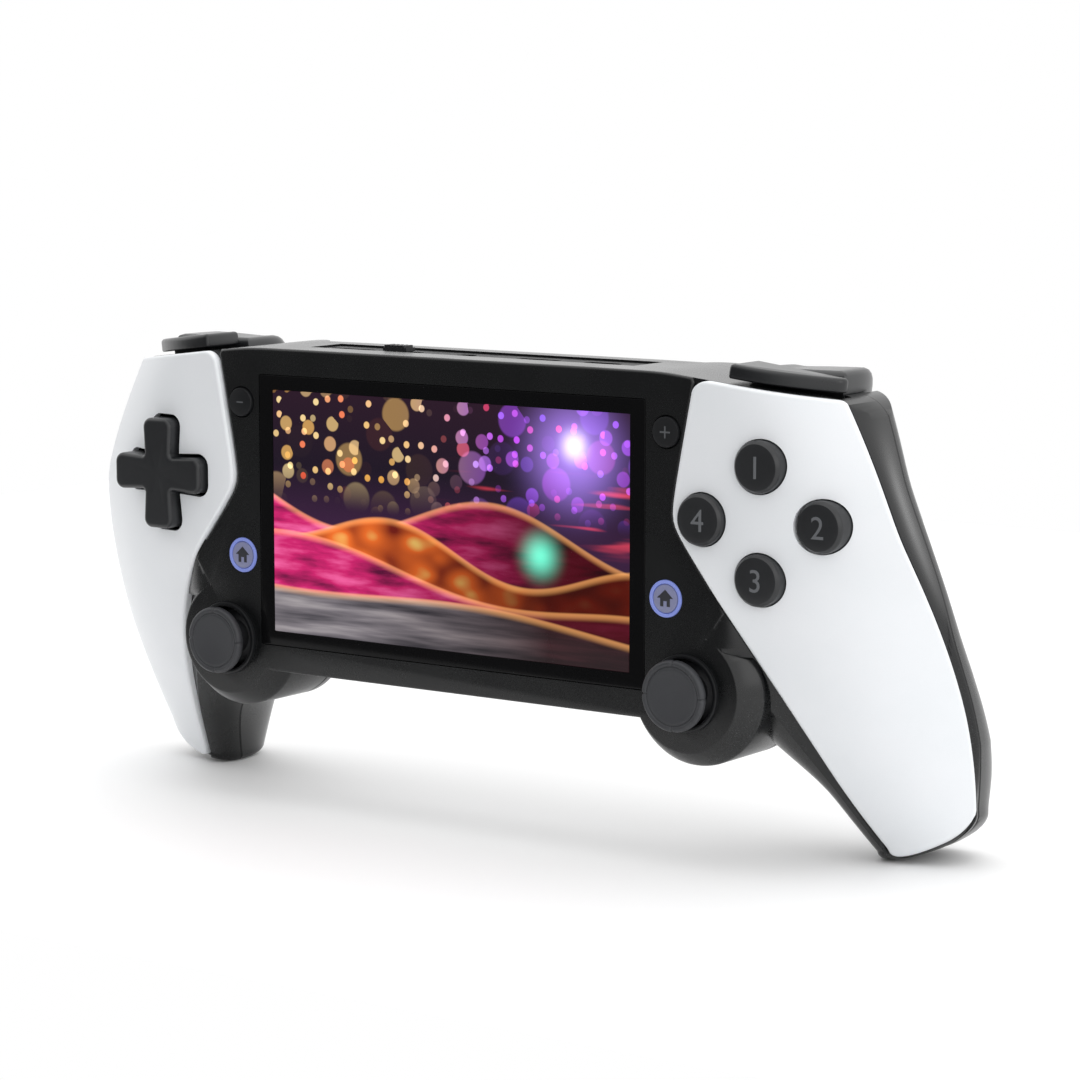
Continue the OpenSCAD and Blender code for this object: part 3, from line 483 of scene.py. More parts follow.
def ramp(v, r):
    """Zero below nought and v above it, with a bend of size r."""
    return v / 2 + math.sqrt(v * v / 4 + r * r)


def clamp(v):
    """v held between 0 and 1."""
    return min(max(v, 0.0), 1.0)


def tip_ease(h):
    """How far the tip's rise has come at height h, from 0 to 1."""
    return max(0.0, (TIP_START - h) / (GRIP_DROP + TIP_START)) ** 2


def outer_level(h):
    """The height of the outer edge of the station at h."""
    return h + TIP_RISE * tip_ease(h)


def inner(h):
    """The panel's inner edge (x, y) at height h: out above the knee, out again below it."""
    below = ramp(BEND_START - h, 1.2)
    lean = KNEE_X - 1 + 0.2 * (h - KNEE_Z)
    slant = KNEE_X - 1 - 0.78 * (h - KNEE_Z)
    x = slant + ramp(lean - slant, 1.3) - 0.16 * below - 0.004 * below * below
    x += 1.8 * max(0.0, (-45 - h) / 18.5) ** 2
    return np.array([x, -1.1 + 0.30 * below + 0.0047 * below * below])


def outer(h):
    """The panel's outer edge (x, y) at height h."""
    level = outer_level(h)
    x = KNEE_X + GRIP_REACH - 19.4 * (abs(level - WIDEST) / 65.3) ** 1.85
    return np.array([x, 8.7 + ramp(0.44 * (4.5 - level), 1)])


def bezier(points, t):
    """A point of a cubic from its four controls."""
    a, b, c, d = points
    s = 1 - t
    return s ** 3 * a + 3 * s * s * t * b + 3 * s * t * t * c + t ** 3 * d


def front_controls(h):
    """The four controls of the front's cubic at height h, and its slope at the inner edge."""
    a, d = inner(h), outer(h)
    width = d[0] - a[0]
    chord = (d[1] - a[1]) / width
    start = 0.8 * max(0.0, chord - 0.24)
    b = a + 0.45 * width * np.array([1, start])
    c = d - 0.35 * width * np.array([1, chord + 0.44])
    return a, b, c, d, start


def front_point(h, t, depth=0.0):
    """A point of the wing's front at height h and t across it, depth under the surface."""
    *controls, _ = front_controls(h)
    near = min(t, 1.0)
    a = bezier(controls, max(near - 0.002, 0))
    b = bezier(controls, min(near + 0.002, 1))
    along = (b - a) / np.linalg.norm(b - a)
    return bezier(controls, t) + depth * np.array([-along[1], along[0]])


def seam_in(h):
    """Y of the seam at the wing's inner side."""
    return SEAM + 0.0098 * max(0.0, -25 - h) ** 2


def seam_out(h):
    """Y of the seam at the wing's outer side, a little behind the panel."""
    return seam_in(h) + ramp(outer(h)[1] + 2.5 - seam_in(h), 1)


def root_x(h):
    """X of the wing's inner side."""
    return max(50.0, inner(h)[0] - 8 + 2.8 * tip_ease(h) - ramp(0.9 * (h + 50), 1.5))


def side_x(h):
    """X of the wing's outer side."""
    level = outer_level(h)
    tuck = 1.6 * clamp((-40 - level) / 14)
    swell = 1.25 * math.tanh(-(level + 2.5) / 12.5) + 0.2 * ramp(h - 14, 1.5)
    return outer(h)[0] - 0.25 + swell - tuck


def back_y(h):
    """Y of the wing's back, which deepens towards the grip."""
    return BACK + 6.5 + 20.5 * (1 - math.cos(math.pi * clamp(-h / 56))) / 2


def raised(h, p):
    """The height of a point of the station at h: the tip rises to the outside."""
    a, d = inner(h)[0], outer(h)[0]
    share = (p[0] - a) / (d - a)
    share *= 0.6 if share < 0 else 0.35 + 0.65 * share
    return np.array([p[0], p[1], h + TIP_RISE * tip_ease(h) * share])


for h in (30, 5.4, -20, -60):
    print("station", h, "inner", inner(h).round(1), "outer", outer(h).round(1), "back", round(back_y(h), 1))

# %% [markdown]
# The two halves of the wing meet at a seam. Each half's station is drawn a hair short of it and
# tucked in, so the finished case shows the fine line a real parting seam has. The stations go up past
# the top, where a smooth line trims them later, and end below in a dome.

# %% The wing's halves
UNDER = 1.86
STRIP_DEPTH = 1.1
PLATE_GAP = 0.32
SEAM_GAP = 0.3
TUCK, HAIR = 0.25, 0.05
WALL = 2.0
ROOM_LOW, ROOM_HIGH = -58, 22
DOME = ((0.995, 0.33), (0.98, 0.75), (0.95, 1.22), (0.9, 1.65), (0.82, 2.03), (0.7, 2.3),
        (0.55, 2.5), (0.4, 2.6))
LEVELS = np.concatenate([np.linspace(40, -50, 58), np.linspace(-51, -GRIP_DROP, 12)])


def front_station(h, shrink=0.0):
    """The front half's outline at h, shrink inside the outer surface."""
    a = np.array([root_x(h) + shrink, seam_in(h)])
    b = np.array([side_x(h) - shrink, seam_out(h)])
    start = np.array([1, front_controls(h)[4]])
    p = front_point(h, 0, UNDER + shrink)
    if not shrink:
        p = front_point(h, 0, max(0.45, 0.3 - inner(h)[1])) - PLATE_GAP * start
    into = [a, a - [0, 0.5 * (a[1] - p[1])], p - 0.5 * (p[0] - a[0]) * start, p]
    points = [bezier(into, t) for t in np.linspace(0, 1, 9)[:-1]]
    points += [front_point(h, t, UNDER + shrink) for t in np.linspace(0, 1, 25)]
    q = front_point(h, 1, STRIP_DEPTH + shrink)
    along = q - front_point(h, 0.99, STRIP_DEPTH + shrink)
    q = q + 0.75 * along / np.linalg.norm(along)
    rise = b[1] - q[1]
    round_side = [q, q + 0.35 * rise * np.array([0.35, 1]), b - [0, 0.4 * rise], b]
    points += [bezier(round_side, t) for t in np.linspace(0, 1, 13)]
    if not shrink:
        points = [p if p[1] < a[1] - SEAM_GAP else p - [0, SEAM_GAP] for p in points]
        points = [a + [TUCK, -HAIR], *points[:-1], b - [0, SEAM_GAP], b - [TUCK, HAIR]]
    return points


def back_station(h, shrink=0.0):
    """The back half's outline at h, shrink inside the outer surface."""
    x0, x1 = root_x(h) + shrink, side_x(h) - shrink
    y0, y1 = seam_in(h), seam_out(h)
    points = []
    for a in np.linspace(0, np.pi, 41):
        turn = 0.8 + 0.3 * clamp((-25 - h) / 20) if math.cos(a) < 0 else 0.8
        along = -math.copysign(abs(math.cos(a)) ** turn, math.cos(a))
        base = (y0 + y1) / 2 + (y1 - y0) / 2 * along
        y = base + (back_y(h) - shrink - base) * math.sin(a) ** 0.8
        points.append(np.array([(x0 + x1) / 2 + (x1 - x0) / 2 * along, y]))
    if not shrink:
        first, last = points[0], points[-1]
        points = [first + [TUCK, HAIR], first + [0, SEAM_GAP], *points[1:-1],
                  last + [0, SEAM_GAP], last + [-TUCK, HAIR]]
    return points


def on_dome(p, scale, drop):
    """A point of the lowest station drawn in to the station's middle and lowered."""
    low = -GRIP_DROP
    middle = np.array([(root_x(low) + side_x(low)) / 2, (seam_in(low) + seam_out(low)) / 2])
    return raised(low, middle + scale * (p - middle)) - [0, 0, drop]


def wing(side, station, shrink=0.0):
    """One side's wing with its dome, or the room inside it when shrink is set."""
    levels = [h for h in LEVELS if not shrink or ROOM_LOW < h < ROOM_HIGH]
    rings = [[raised(h, p) for p in station(h, shrink)] for h in levels]
    if not shrink:
        tip = station(-GRIP_DROP)
        rings += [[on_dome(p, scale, drop) for p in tip] for scale, drop in DOME]
    return skin("wing", np.array(rings) * [side, 1, 1])


print("levels", len(LEVELS), "points a station", len(front_station(0)), len(back_station(0)))

# %% [markdown]
# Seen from the front, the case's top is level over the screen and bends down gently along both
# shoulders, then rounds over the outer corner. One outline holds that line, and everything that
# reaches the top is trimmed with it, so plate, wings and back share one smooth edge.

# %% The trimming outline
TILT = math.radians(7.1)
SLOPE = math.tan(TILT)
SHOULDER_X, SHOULDER_Z = 66, 34.8
CORNER_Z = 31
CORNER_R = 3.6


def top_line(x):
    """Height of the case's top at x."""
    return TOP - SLOPE * ramp(abs(x) - 55.2, 2)


def top_outline():
    """The outline from the front of everything that the top line leaves."""
    edge = side_x(CORNER_Z)
    begin = edge - 1.6 * CORNER_R
    end = CORNER_Z - 1.5 * CORNER_R
    turn_in = np.array([begin, top_line(begin)])
    tip = np.array([edge, top_line(edge)])
    turn_out = np.array([side_x(end) + 0.3, end])
    level = (*np.linspace(0, 50, 6), *np.linspace(51, 62, 12), 68, 76)
    half = [np.array([x, top_line(x)]) for x in level]
    for t in np.linspace(0, 1, 11):
        half.append((1 - t) ** 2 * turn_in + 2 * t * (1 - t) * tip + t * t * turn_out)
    half += [turn_out + [14, -6], np.array([130.0, -110.0])]
    return np.array(half + [p * [-1, 1] for p in half[:0:-1]])


def trim(piece):
    """Keep what lies inside the trimming outline."""
    keep = stack("trim", top_outline(), [(-30, 0), (90, 0)])
    return combine(piece, [keep], "INTERSECT")


print("top line at 0, 60, 90:", [round(top_line(x), 2) for x in (0, 60, 90)])

# %% [markdown]
# The front shell is the flat face with its rounded edge, the core behind it, two wings and the two
# drums that carry the sticks. A single hand-made mesh would be a lot of stitching, so it is joined
# from those solids. The drums have a bright cone between a dark disc and the straight wall, as on the
# real console.

# %% Front shell, outside
STICK = (61.2, -29.8)
KEY_X = 56.4
SKIM = 0.03
DISC_R = 12.45
DRUM = ((12.2, 0.0), (DISC_R, SKIM), (12.7, 0.14), (15.5, 4.25), (15.85, 4.75), (16, 5.4),
        (16, 20.65), (15.75, 20.9))
CORE = oblong(-55.4, 55.4, -TOP, 40)
WEB_TOP, WEB_BREAK, WEB_LOW = -8, -18.6, -21.5
WEB_STEPS = (0, 0.2, 0.4, 0.55, 0.68, 0.79, 0.88, 0.95, 1)


def stick_place(side):
    """The middle of one side's drum."""
    return side * STICK[0], STICK[1]


def web(side):
    """A smooth wedge that carries the flat face down to the grip between the drum and the panel."""
    rows = []
    for h in np.linspace(WEB_TOP, WEB_LOW, 14):
        edge_x, edge_y = inner(h)
        end = edge_x - PLATE_GAP
        start = 66.64 - 0.45 * (h - WEB_BREAK)
        if h <= WEB_BREAK:
            start = STICK[0] + math.sqrt(DISC_R ** 2 - (h - STICK[1]) ** 2)
        drop = max(0.0, edge_y + 0.45 - SKIM)
        bend = np.interp(h, [WEB_LOW, -18, -10], [0.5, 3.0, 6.0])
        rows.append([(start + (end - start) * w, SKIM + drop * w ** bend, h) for w in WEB_STEPS])
    front = np.array(rows)
    back = front.copy()
    back[..., 1] = 8
    return closed("web", front * [side, 1, 1], back * [side, 1, 1])


half = [(x, top_line(x)) for x in (*np.linspace(0, 50, 6), *np.linspace(51, 62.4, 14))]
half += [(inner(h)[0] - PLATE_GAP, h) for h in np.linspace(34.2, -12.5, 48)]
half = np.array([*half, (66.5, -18.5), STICK, (57, -TOP), (30, -TOP), (0, -TOP)])
face_outline = np.concatenate([half, half[-2:0:-1] * [-1, 1]])
front_shell = trim(stack("core", CORE, edge_rows(1.0, 20.9, 0, 0.25)))
for side in (-1, 1):
    corner = block(*sorted((side * 54, side * 60)), 1.5, 7, 30, 40)
    combine(front_shell, [trim(wing(side, front_station)), trim(corner)], "UNION")
combine(front_shell, [stack("face", face_outline, edge_rows(0, 2.2, 0.7, 0))], "UNION")
combine(front_shell, [web(side) for side in (-1, 1)], "UNION")
combine(front_shell, [turned("drum", DRUM, stick_place(side), 128) for side in (-1, 1)], "UNION")
print("outside faces", len(front_shell.data.polygons))

# %% [markdown]
# Inside, the shell is hollow like any moulding, and its openings have a small chamfer, because a
# mould's edge is never a knife edge. The shoulder keys sit in a frame of their own, tilted with the
# shoulder.

# %% Front shell, openings
SMALL_Z, LIT_Z = 23.8, -10.6
BORE_DEPTH = 6


def at_shoulder(side, x, y, z):
    """A point of the shoulder's tilted frame, x along the shoulder and z square to it."""
    return (side * (SHOULDER_X + x * math.cos(TILT) + z * math.sin(TILT)), y,
            SHOULDER_Z - x * math.sin(TILT) + z * math.cos(TILT))


def shoulder_pockets(side):
    """Cutters for the rooms of one side's trigger and bumper."""
    place = partial(at_shoulder, side)
    rooms = (((0.3, 23.7, 14.8, 90), -7), ((2.2, 25.2, 10.2, 15.2), -4.6))
    return [stack("pocket", oblong(*plan), [(low, 0), (30, 0)], place) for plan, low in rooms]


def bore(centre, r, chamfer=0.2):
    """A round cutter from the front with a chamfer at the plate's face."""
    return turned("bore", [(r + 1 + chamfer, -1), (r, chamfer), (r, BORE_DEPTH)], centre)


cuts = [
    block(-53.4, 53.4, 2.2, 25, -34.2, 33.4),
    stack("lens_seat", centred(51.35, 30.35, 0.7), [(-1, 0), (1.3, 0)]),
    stack("window", centred(49.8, 29.2, 0.7), [(1, 0), (4, 0)]),
    block(-43.1, 43.1, 7.9, 19.1, 34.4, 40),
    block(-41.6, 41.6, 9.2, 17.8, 30, 36),
]
for side in (-1, 1):
    cuts += [
        wing(side, front_station, WALL),
        turned("drum_room", [(10.4, 2.2), (14, 6.4), (14, 25)], stick_place(side), 64),
        block(*sorted((side * 50, side * 60)), 2.2, 18, -16, 30),
        bore((side * KEY_X, SMALL_Z), 3.35),
        bore((side * KEY_X, LIT_Z), 3.95, 0.1),
        bore(stick_place(side), 7.6, 0.1),
        *shoulder_pockets(side),
    ]
combine(front_shell, cuts)
print("faces with openings", len(front_shell.data.polygons))

# %% [markdown]
# The keys on the wings come up through wells in the shell and holes in the white panel. The four
# round buttons have round wells, and the directional pad has a cross. The cross is drawn once: its
# arms widen a little to the ends, and the corners are eased. The same outline, grown, gives the well.


# %% Wells for the keys
def key_place(name):
    """The middle of a node seen from the front."""
    low, high = span(name)
    return np.array([(low[0] + high[0]) / 2, (low[2] + high[2]) / 2])


def plus_shape(reach, wide, root):
    """Corners of a plus; wide and root are half an arm's breadth at its end and at its root."""
    corners = [(reach, -wide), (reach, wide), (root, root)]
    for _ in range(3):
        corners += [(-z, x) for x, z in corners[-3:]]
    return corners


FACE_BUTTONS = [f"face_button_{k}" for k in (1, 2, 3, 4)]
WELL_R = 5.65
PAD = key_place("dpad")
CROSS = eased(plus_shape(12.5, 4.2, 3.7), [2.2, 2.2, 1.0] * 4)


def cross(grow=0.0):
    """The pad's outline, grown all round."""
    return inset(CROSS, -grow) + PAD


def wells(depth):
    """Cutters for the four round wells and the cross, from in front of the panels to depth."""
    profile = [(WELL_R, -9), (WELL_R, depth)]
    rounds = [turned("well", profile, key_place(name), 64) for name in FACE_BUTTONS]
    return rounds, [stack("cross_well", cross(0.8), [(-9, 0), (depth, 0)])]


rounds, crosses = wells(14)
combine(front_shell, rounds + crosses)
settle(front_shell, "front_case", "body", "shell", SHELL_BLACK, "front_shell")

# %% [markdown]
# The rear shell closes the case: a shallow tray behind the screen and the two deep grip backs. It
# gets the same trim as the front so that the seam lines up, a generous radius round the back, and
# recesses for the screws.

# %% Rear shell
SCREWS = [(sx * 44.8, sz * 31.5) for sx in (-1, 1) for sz in (-1, 1)]
DRUM_BACK = ((15.75, 21.0), (16, 21.25), (16, 23), (15.6, 24.2), (14.4, 25.8), (12.6, 26.8), (11.4, 27))
rear_shell = trim(stack("rear", CORE, edge_rows(21.0, BACK, 0.25, 1.4)))
cuts = [block(-53.4, 53.4, 15, 22, -34.2, 33.4)]
cuts += [turned("recess", [(2.25, 30), (2.25, 22.6)], place, 48) for place in SCREWS]
for side in (-1, 1):
    drum = turned("drum", DRUM_BACK, stick_place(side), 128)
    combine(rear_shell, [trim(wing(side, back_station)), drum], "UNION")
    cuts += [wing(side, back_station, WALL), *shoulder_pockets(side)]
combine(rear_shell, cuts)
settle(rear_shell, "rear_case", "body", "shell", SHELL_BLACK, "rear_shell")

# %% [markdown]
# The white panels are thin caps on the front of each wing. They follow the stations' cubic exactly,
# with a rounded rim all round and a soft top inner corner. The rim is made by sinking the points near
# the border along a quarter circle, using the distance to the border of a rectangle with rounded
# corners.

# %% White panels
PANEL_T = 1.8
RIM = 0.65
RIM_STEPS = np.array([0, 0.06, 0.16, 0.32, 0.5, RIM, 0.9])
INNER_TOP, OUTER_TOP, INNER_LOW, OUTER_LOW = 3.0, 0.8, 3.0, 5.0
PANEL_END = 3.2
OVERHANG = 0.4
LEVEL_Z = 5
TIP_HALF = 14
DOME_RUN = [math.hypot(b[1] - a[1], TIP_HALF * (a[0] - b[0])) for a, b in zip(DOME, DOME[1:])]
DOME_PATH = [0, *np.cumsum([0.45, *DOME_RUN])]


def panel_point(h, t, depth):
    """A point of the panel: on the stations above the tip, and wrapped round the dome below it."""
    if h >= -GRIP_DROP:
        return raised(h, front_point(h, t, depth))
    scale, drop = (np.interp(-GRIP_DROP - h, DOME_PATH, run) for run in zip((1, 0), *DOME))
    return on_dome(front_point(-GRIP_DROP, t, depth), scale, drop)


def panel_top(t):
    """Height of the panel's top edge at t: it follows the shoulder line."""
    h = 34.0
    for _ in range(4):
        h = SHOULDER_Z - SLOPE * (front_point(h, t)[0] - SHOULDER_X)
    return h


def border_distance(left, right, up, down):
    """Distance to the border of the rounded rectangle, inside it."""
    best = min(left, right, up, down)
    for across, along, r in ((left, up, INNER_TOP), (right, up, OUTER_TOP),
                             (left, down, INNER_LOW), (right, down, OUTER_LOW)):
        if across < r and along < r:
            best = min(best, r - math.hypot(r - across, r - along))
    return max(best, 0.0)


def corner_shift(up, down, top_r, low_r):
    """How far a row's end moves in at the rounded corners."""
    shift = 0.0
    for gap, r in ((up, top_r), (down, low_r)):
        if gap < r:
            shift = max(shift, r - math.sqrt(max(r * r - (r - gap) ** 2, 0)))
    return shift


def panel(side):
    """A closed panel: points on the wing's front with a sunk rim, and points behind them."""
    top = panel_top(0)
    tall = top + GRIP_DROP + PANEL_END
    ups = np.concatenate([RIM_STEPS, np.linspace(1.3, 3.2, 6), np.linspace(4.4, tall - 2.4, 70),
                          tall - np.array([1.7, 1.2, *RIM_STEPS[::-1]])])
    face, back = [], []
    for up in ups:
        row, under = [], []
        g = top - up
        level = max(g, -GRIP_DROP)
        weight = clamp((g - LEVEL_Z) / (top - LEVEL_Z))
        weight = weight * weight * (3 - 2 * weight)
        width = np.linalg.norm(outer(level) - inner(level)) * 1.02
        left = corner_shift(up, tall - up, INNER_TOP, INNER_LOW)
        right = corner_shift(up, tall - up, OUTER_TOP, OUTER_LOW)
        room = width - left - right
        across = np.concatenate([RIM_STEPS, np.linspace(2, room - 2, 30), room - RIM_STEPS[::-1]])
        for s in left + across:
            t = s / width * (1 + OVERHANG / width)
            h = g + (panel_top(t) - top) * weight
            d = min(border_distance(s, width - s, up, tall - up), RIM)
            row.append(panel_point(h, t, RIM - math.sqrt(RIM * RIM - (RIM - d) ** 2)))
            under.append(panel_point(h, t, PANEL_T))
        face.append(row)
        back.append(under)
    return closed("panel", np.array(face) * [side, 1, 1], np.array(back) * [side, 1, 1])


rounds, crosses = wells(16)
for side, name, holes in ((1, "right", rounds), (-1, "left", crosses)):
    cover = combine(panel(side), holes)
    settle(cover, f"{name}_white_panel", "body", "panel", PANEL_WHITE, f"{name}_panel")

# %% [markdown]
# The screen is one laminated sheet: a gloss black border round the picture, which shines through the
# same glass. The border is a rounded slab with a window, and the picture is a thin slab set a hair
# under its surface, with a glossy face that stands for the glass over it.

# %% Screen border and display
LENS_BLACK = moulded("lens_black", "#0B0B0C", "#0D0D0E", (0.10, 0.14), depth=0.0, Specular_IOR_Level=0.12)
DISPLAY_BACK = moulded("display_back", "#1A1B1D", "#232426", (0.4, 0.5))
border = stack("border", centred(51.2, 30.2, 0.6), edge_rows(0.0, 1.2, 0.15, 0))
combine(border, [stack("window", centred(47.5, 27, 0.25), [(-1, 0), (2, 0)])])
settle(border, "screen_border", "body", "lens", LENS_BLACK, "screen_lens")
low, high = span("display_panel")
tray_front = low[1]
tray = stack("tray", oblong(low[0], high[0], low[2], high[2], 0.5), edge_rows(tray_front, high[1], 0.2, 0.2))
settle(tray, "display_tray", "body", "display", DISPLAY_BACK, "display_panel")

# %% [markdown]
# What the screen shows is made up for this part: dunes of colour under out-of-focus lights at dusk.
# It could be painted as an image, but nodes keep it sharp at any size. Light discs come from cells of
# a Voronoi texture, the streaks from stretched noise, and each dune is everything under a sine line.

# %% Picture coordinates and shared shapes
PICTURE_SCALE = 18.5
picture, tree = new_material("dusk_picture")
canvas = node(tree, "TexCoord").outputs["Object"]
canvas = node(tree, "VectorMath", {0: canvas, 1: tuple(-HOME)}, operation="ADD").outputs[0]
canvas = node(tree, "VectorMath", {0: canvas, 1: (PICTURE_SCALE, 0, PICTURE_SCALE)},
              operation="MULTIPLY").outputs[0]
axes = node(tree, "SeparateXYZ", {0: canvas})
u, v = axes.outputs["X"], axes.outputs["Z"]
flat = node(tree, "CombineXYZ", {0: u, 1: v}).outputs[0]


def times(a, b):
    """The product of two values of the picture."""
    return calc(tree, "MULTIPLY", a, b)


def plus(a, b):
    """The sum of two values of the picture."""
    return calc(tree, "ADD", a, b)


def blend(factor, under, over, kind="MIX"):
    """Lay one colour over another."""
    return node(tree, "Mix", {0: factor, 6: under, 7: over}, data_type="RGBA", blend_type=kind).outputs[2]


def fade(value, start, end):
    """A smooth step from 0 at start to 1 at end."""
    return node(tree, "MapRange", {0: value, 1: start, 2: end}, interpolation_type="SMOOTHSTEP").outputs[0]


def stretched(scale_u, scale_v, shift=0.0):
    """Picture coordinates scaled along both ways and shifted."""
    return node(tree, "Mapping", {"Vector": flat, "Location": (shift, shift, 0),
                                  "Scale": (scale_u, scale_v, 1)}).outputs[0]


def colour_ramp(factor, stops):
    """A colour ramp through (place, colour code) stops."""
    made = node(tree, "ValToRGB", {0: factor})
    for i, (at, code) in enumerate(stops):
        stop = made.color_ramp.elements[i] if i < 2 else made.color_ramp.elements.new(at)
        stop.position = at
        stop.color = linear(code)
    return made.outputs[0]


def glow(x, z, size):
    """A soft round glow at x, z."""
    away = node(tree, "VectorMath", {0: canvas, 1: (x, 0, z)}, operation="DISTANCE").outputs["Value"]
    return calc(tree, "POWER", fade(away, size, 0.0), 2.0)


print("picture spans", round(0.095 * PICTURE_SCALE, 2), "by", round(0.054 * PICTURE_SCALE, 2))

# %% Sky, lights and streaks of the picture
image = colour_ramp(plus(v, 0.5),
                    [(0.0, "#1A1420"), (1.0, "#2A1626"), (0.45, "#3A1E3E"), (0.7, "#1C1222")])
for count, size, gain, shift in ((5.0, 0.36, 0.3, 0.4), (9.0, 0.30, 0.55, 5.1), (15.0, 0.24, 0.9, 3.3)):
    cells = node(tree, "TexVoronoi", {"Vector": stretched(1, 1, shift), "Scale": count, "Randomness": 0.85},
                 voronoi_dimensions="2D")
    chance = node(tree, "SeparateColor", {0: cells.outputs["Color"]})
    disc = fade(cells.outputs["Distance"], size, size - 0.06)
    lit = times(times(disc, fade(chance.outputs[0], 0.35, 0.8)), fade(v, 0.02, 0.22))
    warm = colour_ramp(chance.outputs[1], [(0.0, "#FFB84A"), (1.0, "#FF5A2E"), (0.5, "#FFE2A0")])
    cool = colour_ramp(chance.outputs[1], [(0.0, "#D24BFF"), (1.0, "#FF3A5C"), (0.5, "#8E5BFF")])
    image = blend(times(lit, gain), image, blend(fade(u, -0.25, 0.35), warm, cool), "ADD")
streak = node(tree, "TexNoise", {"Vector": stretched(1.6, 17), "Scale": 1.0, "Detail": 2.0}).outputs[0]
band = times(fade(v, -0.1, 0.08), fade(v, 0.3, 0.12))
streak = times(fade(streak, 0.55, 0.72), times(band, fade(u, -0.1, 0.35)))
image = blend(streak, image, linear("#FF4A58"), "ADD")
image = blend(glow(0.62, 0.33, 0.42), image, linear("#B58CFF"), "ADD")
image = blend(glow(0.62, 0.36, 0.12), image, linear("#FFFFFF"), "ADD")
print("sky nodes", len(tree.nodes))


# %% Dunes of the picture
def dune(base, swing, pace, shift, slope):
    """Height above the dune's line, negative inside the dune."""
    line = plus(times(calc(tree, "SINE", plus(times(u, pace), shift)), swing), times(u, slope))
    return calc(tree, "SUBTRACT", v, plus(line, base))


speck = node(tree, "TexVoronoi", {"Vector": stretched(1.0, 1.6, 1.7), "Scale": 9.0}, feature="SMOOTH_F1")
ripple = node(tree, "TexNoise", {"Vector": stretched(2.0, 9.0, 4.0), "Scale": 1.6, "Detail": 4.0}).outputs[0]
grey_run = node(tree, "TexNoise", {"Vector": stretched(1.3, 16, 2.0), "Scale": 1.3, "Detail": 3.0})
magenta = colour_ramp(ripple, [(0.3, "#5E0E3A"), (0.72, "#FF6FB0"), (0.5, "#D0246E")])
amber = colour_ramp(speck.outputs["Distance"], [(0.05, "#FFD070"), (0.75, "#7A1E14"), (0.35, "#F0702A")])
ground = colour_ramp(grey_run.outputs[0], [(0.3, "#3E3B42"), (0.75, "#B9B2B4"), (0.5, "#7C767C")])
shade = colour_ramp(plus(u, 0.5), [(0.0, "#FFFFFF"), (1.0, "#5A3038")])
for line, paint in (((0.02, 0.10, 4.2, 0.6, -0.06), magenta), ((-0.10, 0.08, 5.1, 2.9, -0.10), amber),
                    ((-0.22, 0.05, 3.6, 4.0, -0.12), magenta), ((-0.33, 0.03, 3.0, 1.0, -0.06), ground)):
    height = dune(*line)
    image = blend(fade(height, 0.012, -0.012), image, blend(1.0, paint, shade, "MULTIPLY"))
    crest = times(fade(height, -0.03, 0.0), fade(height, 0.01, 0.0))
    image = blend(times(crest, 0.5), image, linear("#FFB46A"), "ADD")
image = blend(glow(0.46, -0.08, 0.16), image, linear("#5CFFD8"), "ADD")
surface = node(tree, "BsdfPrincipled", {
    "Base Color": (0.004, 0.004, 0.004, 1), "Roughness": 0.12, "Specular IOR Level": 0.12,
    "Emission Color": image, "Emission Strength": 1.0,
})
node(tree, "OutputMaterial", {"Surface": surface.outputs[0]})
lit = stack("lit", centred(47.42, 26.92, 0.2), edge_rows(0.06, tray_front - 0.02, 0.05, 0))
settle(lit, "lit_picture", "body", "display", picture)

# %% [markdown]
# The directional pad is one stiff cross that rocks on a ball. Its face is flat with a rounded rim,
# and a shallow dish in the middle where the thumb rests. It is the same outline as its well, stacked
# in rows, with a few rings inside the rim that sink towards the centre.

# %% Directional pad
KEY_BLACK = moulded("key_black", "#1E1F21", "#232426", (0.32, 0.4), scale=5200, depth=0.03,
                    Specular_IOR_Level=0.45)
PAD_ROUND = 1.0
PAD_DISH = 0.12
pad_front, _ = front_back("dpad")
rows = edge_rows(pad_front, 8.5, PAD_ROUND, 0.4, 6)
rings = [[(a, depth, b) for a, b in inset(cross(), pull)] for depth, pull in rows]
face = inset(cross(), PAD_ROUND)
for scale in (0.86, 0.7, 0.5, 0.3, 0.1):
    dish = PAD_DISH * max(0.0, 1 - (scale / 0.6) ** 2)
    rings.insert(0, [(a, pad_front + dish, b) for a, b in PAD + (face - PAD) * scale])
settle(skin("pad", rings), "direction_pad", "dpad", "key", KEY_BLACK, "dpad")

# %% [markdown]
# The four round buttons are turned shapes: a nearly flat top, a bevelled rim and a long skirt with a
# flange that stops them falling out. Their marks are plain numbers, raised a few hundredths and paler
# than the cap, as two-shot moulded marks are.

# %% Round buttons and their numbers
MARK_GREY = moulded("mark_grey", "#5E6063", "#66686B", (0.45, 0.55), Specular_IOR_Level=0.3)
NUMBER_SIZE = 6.6
MARK_RISE, MARK_SINK = 0.02, 0.05
BUTTON_FACE = ((0.4, 0), (3.0, 0.03), (4.5, 0.09), (4.75, 0.16), (5.15, 0.62), (5.32, 0.85), (5.4, 1.2))


def from_front(profile, front):
    """A profile whose depths are counted from a front face."""
    return [(r, front + depth) for r, depth in profile]


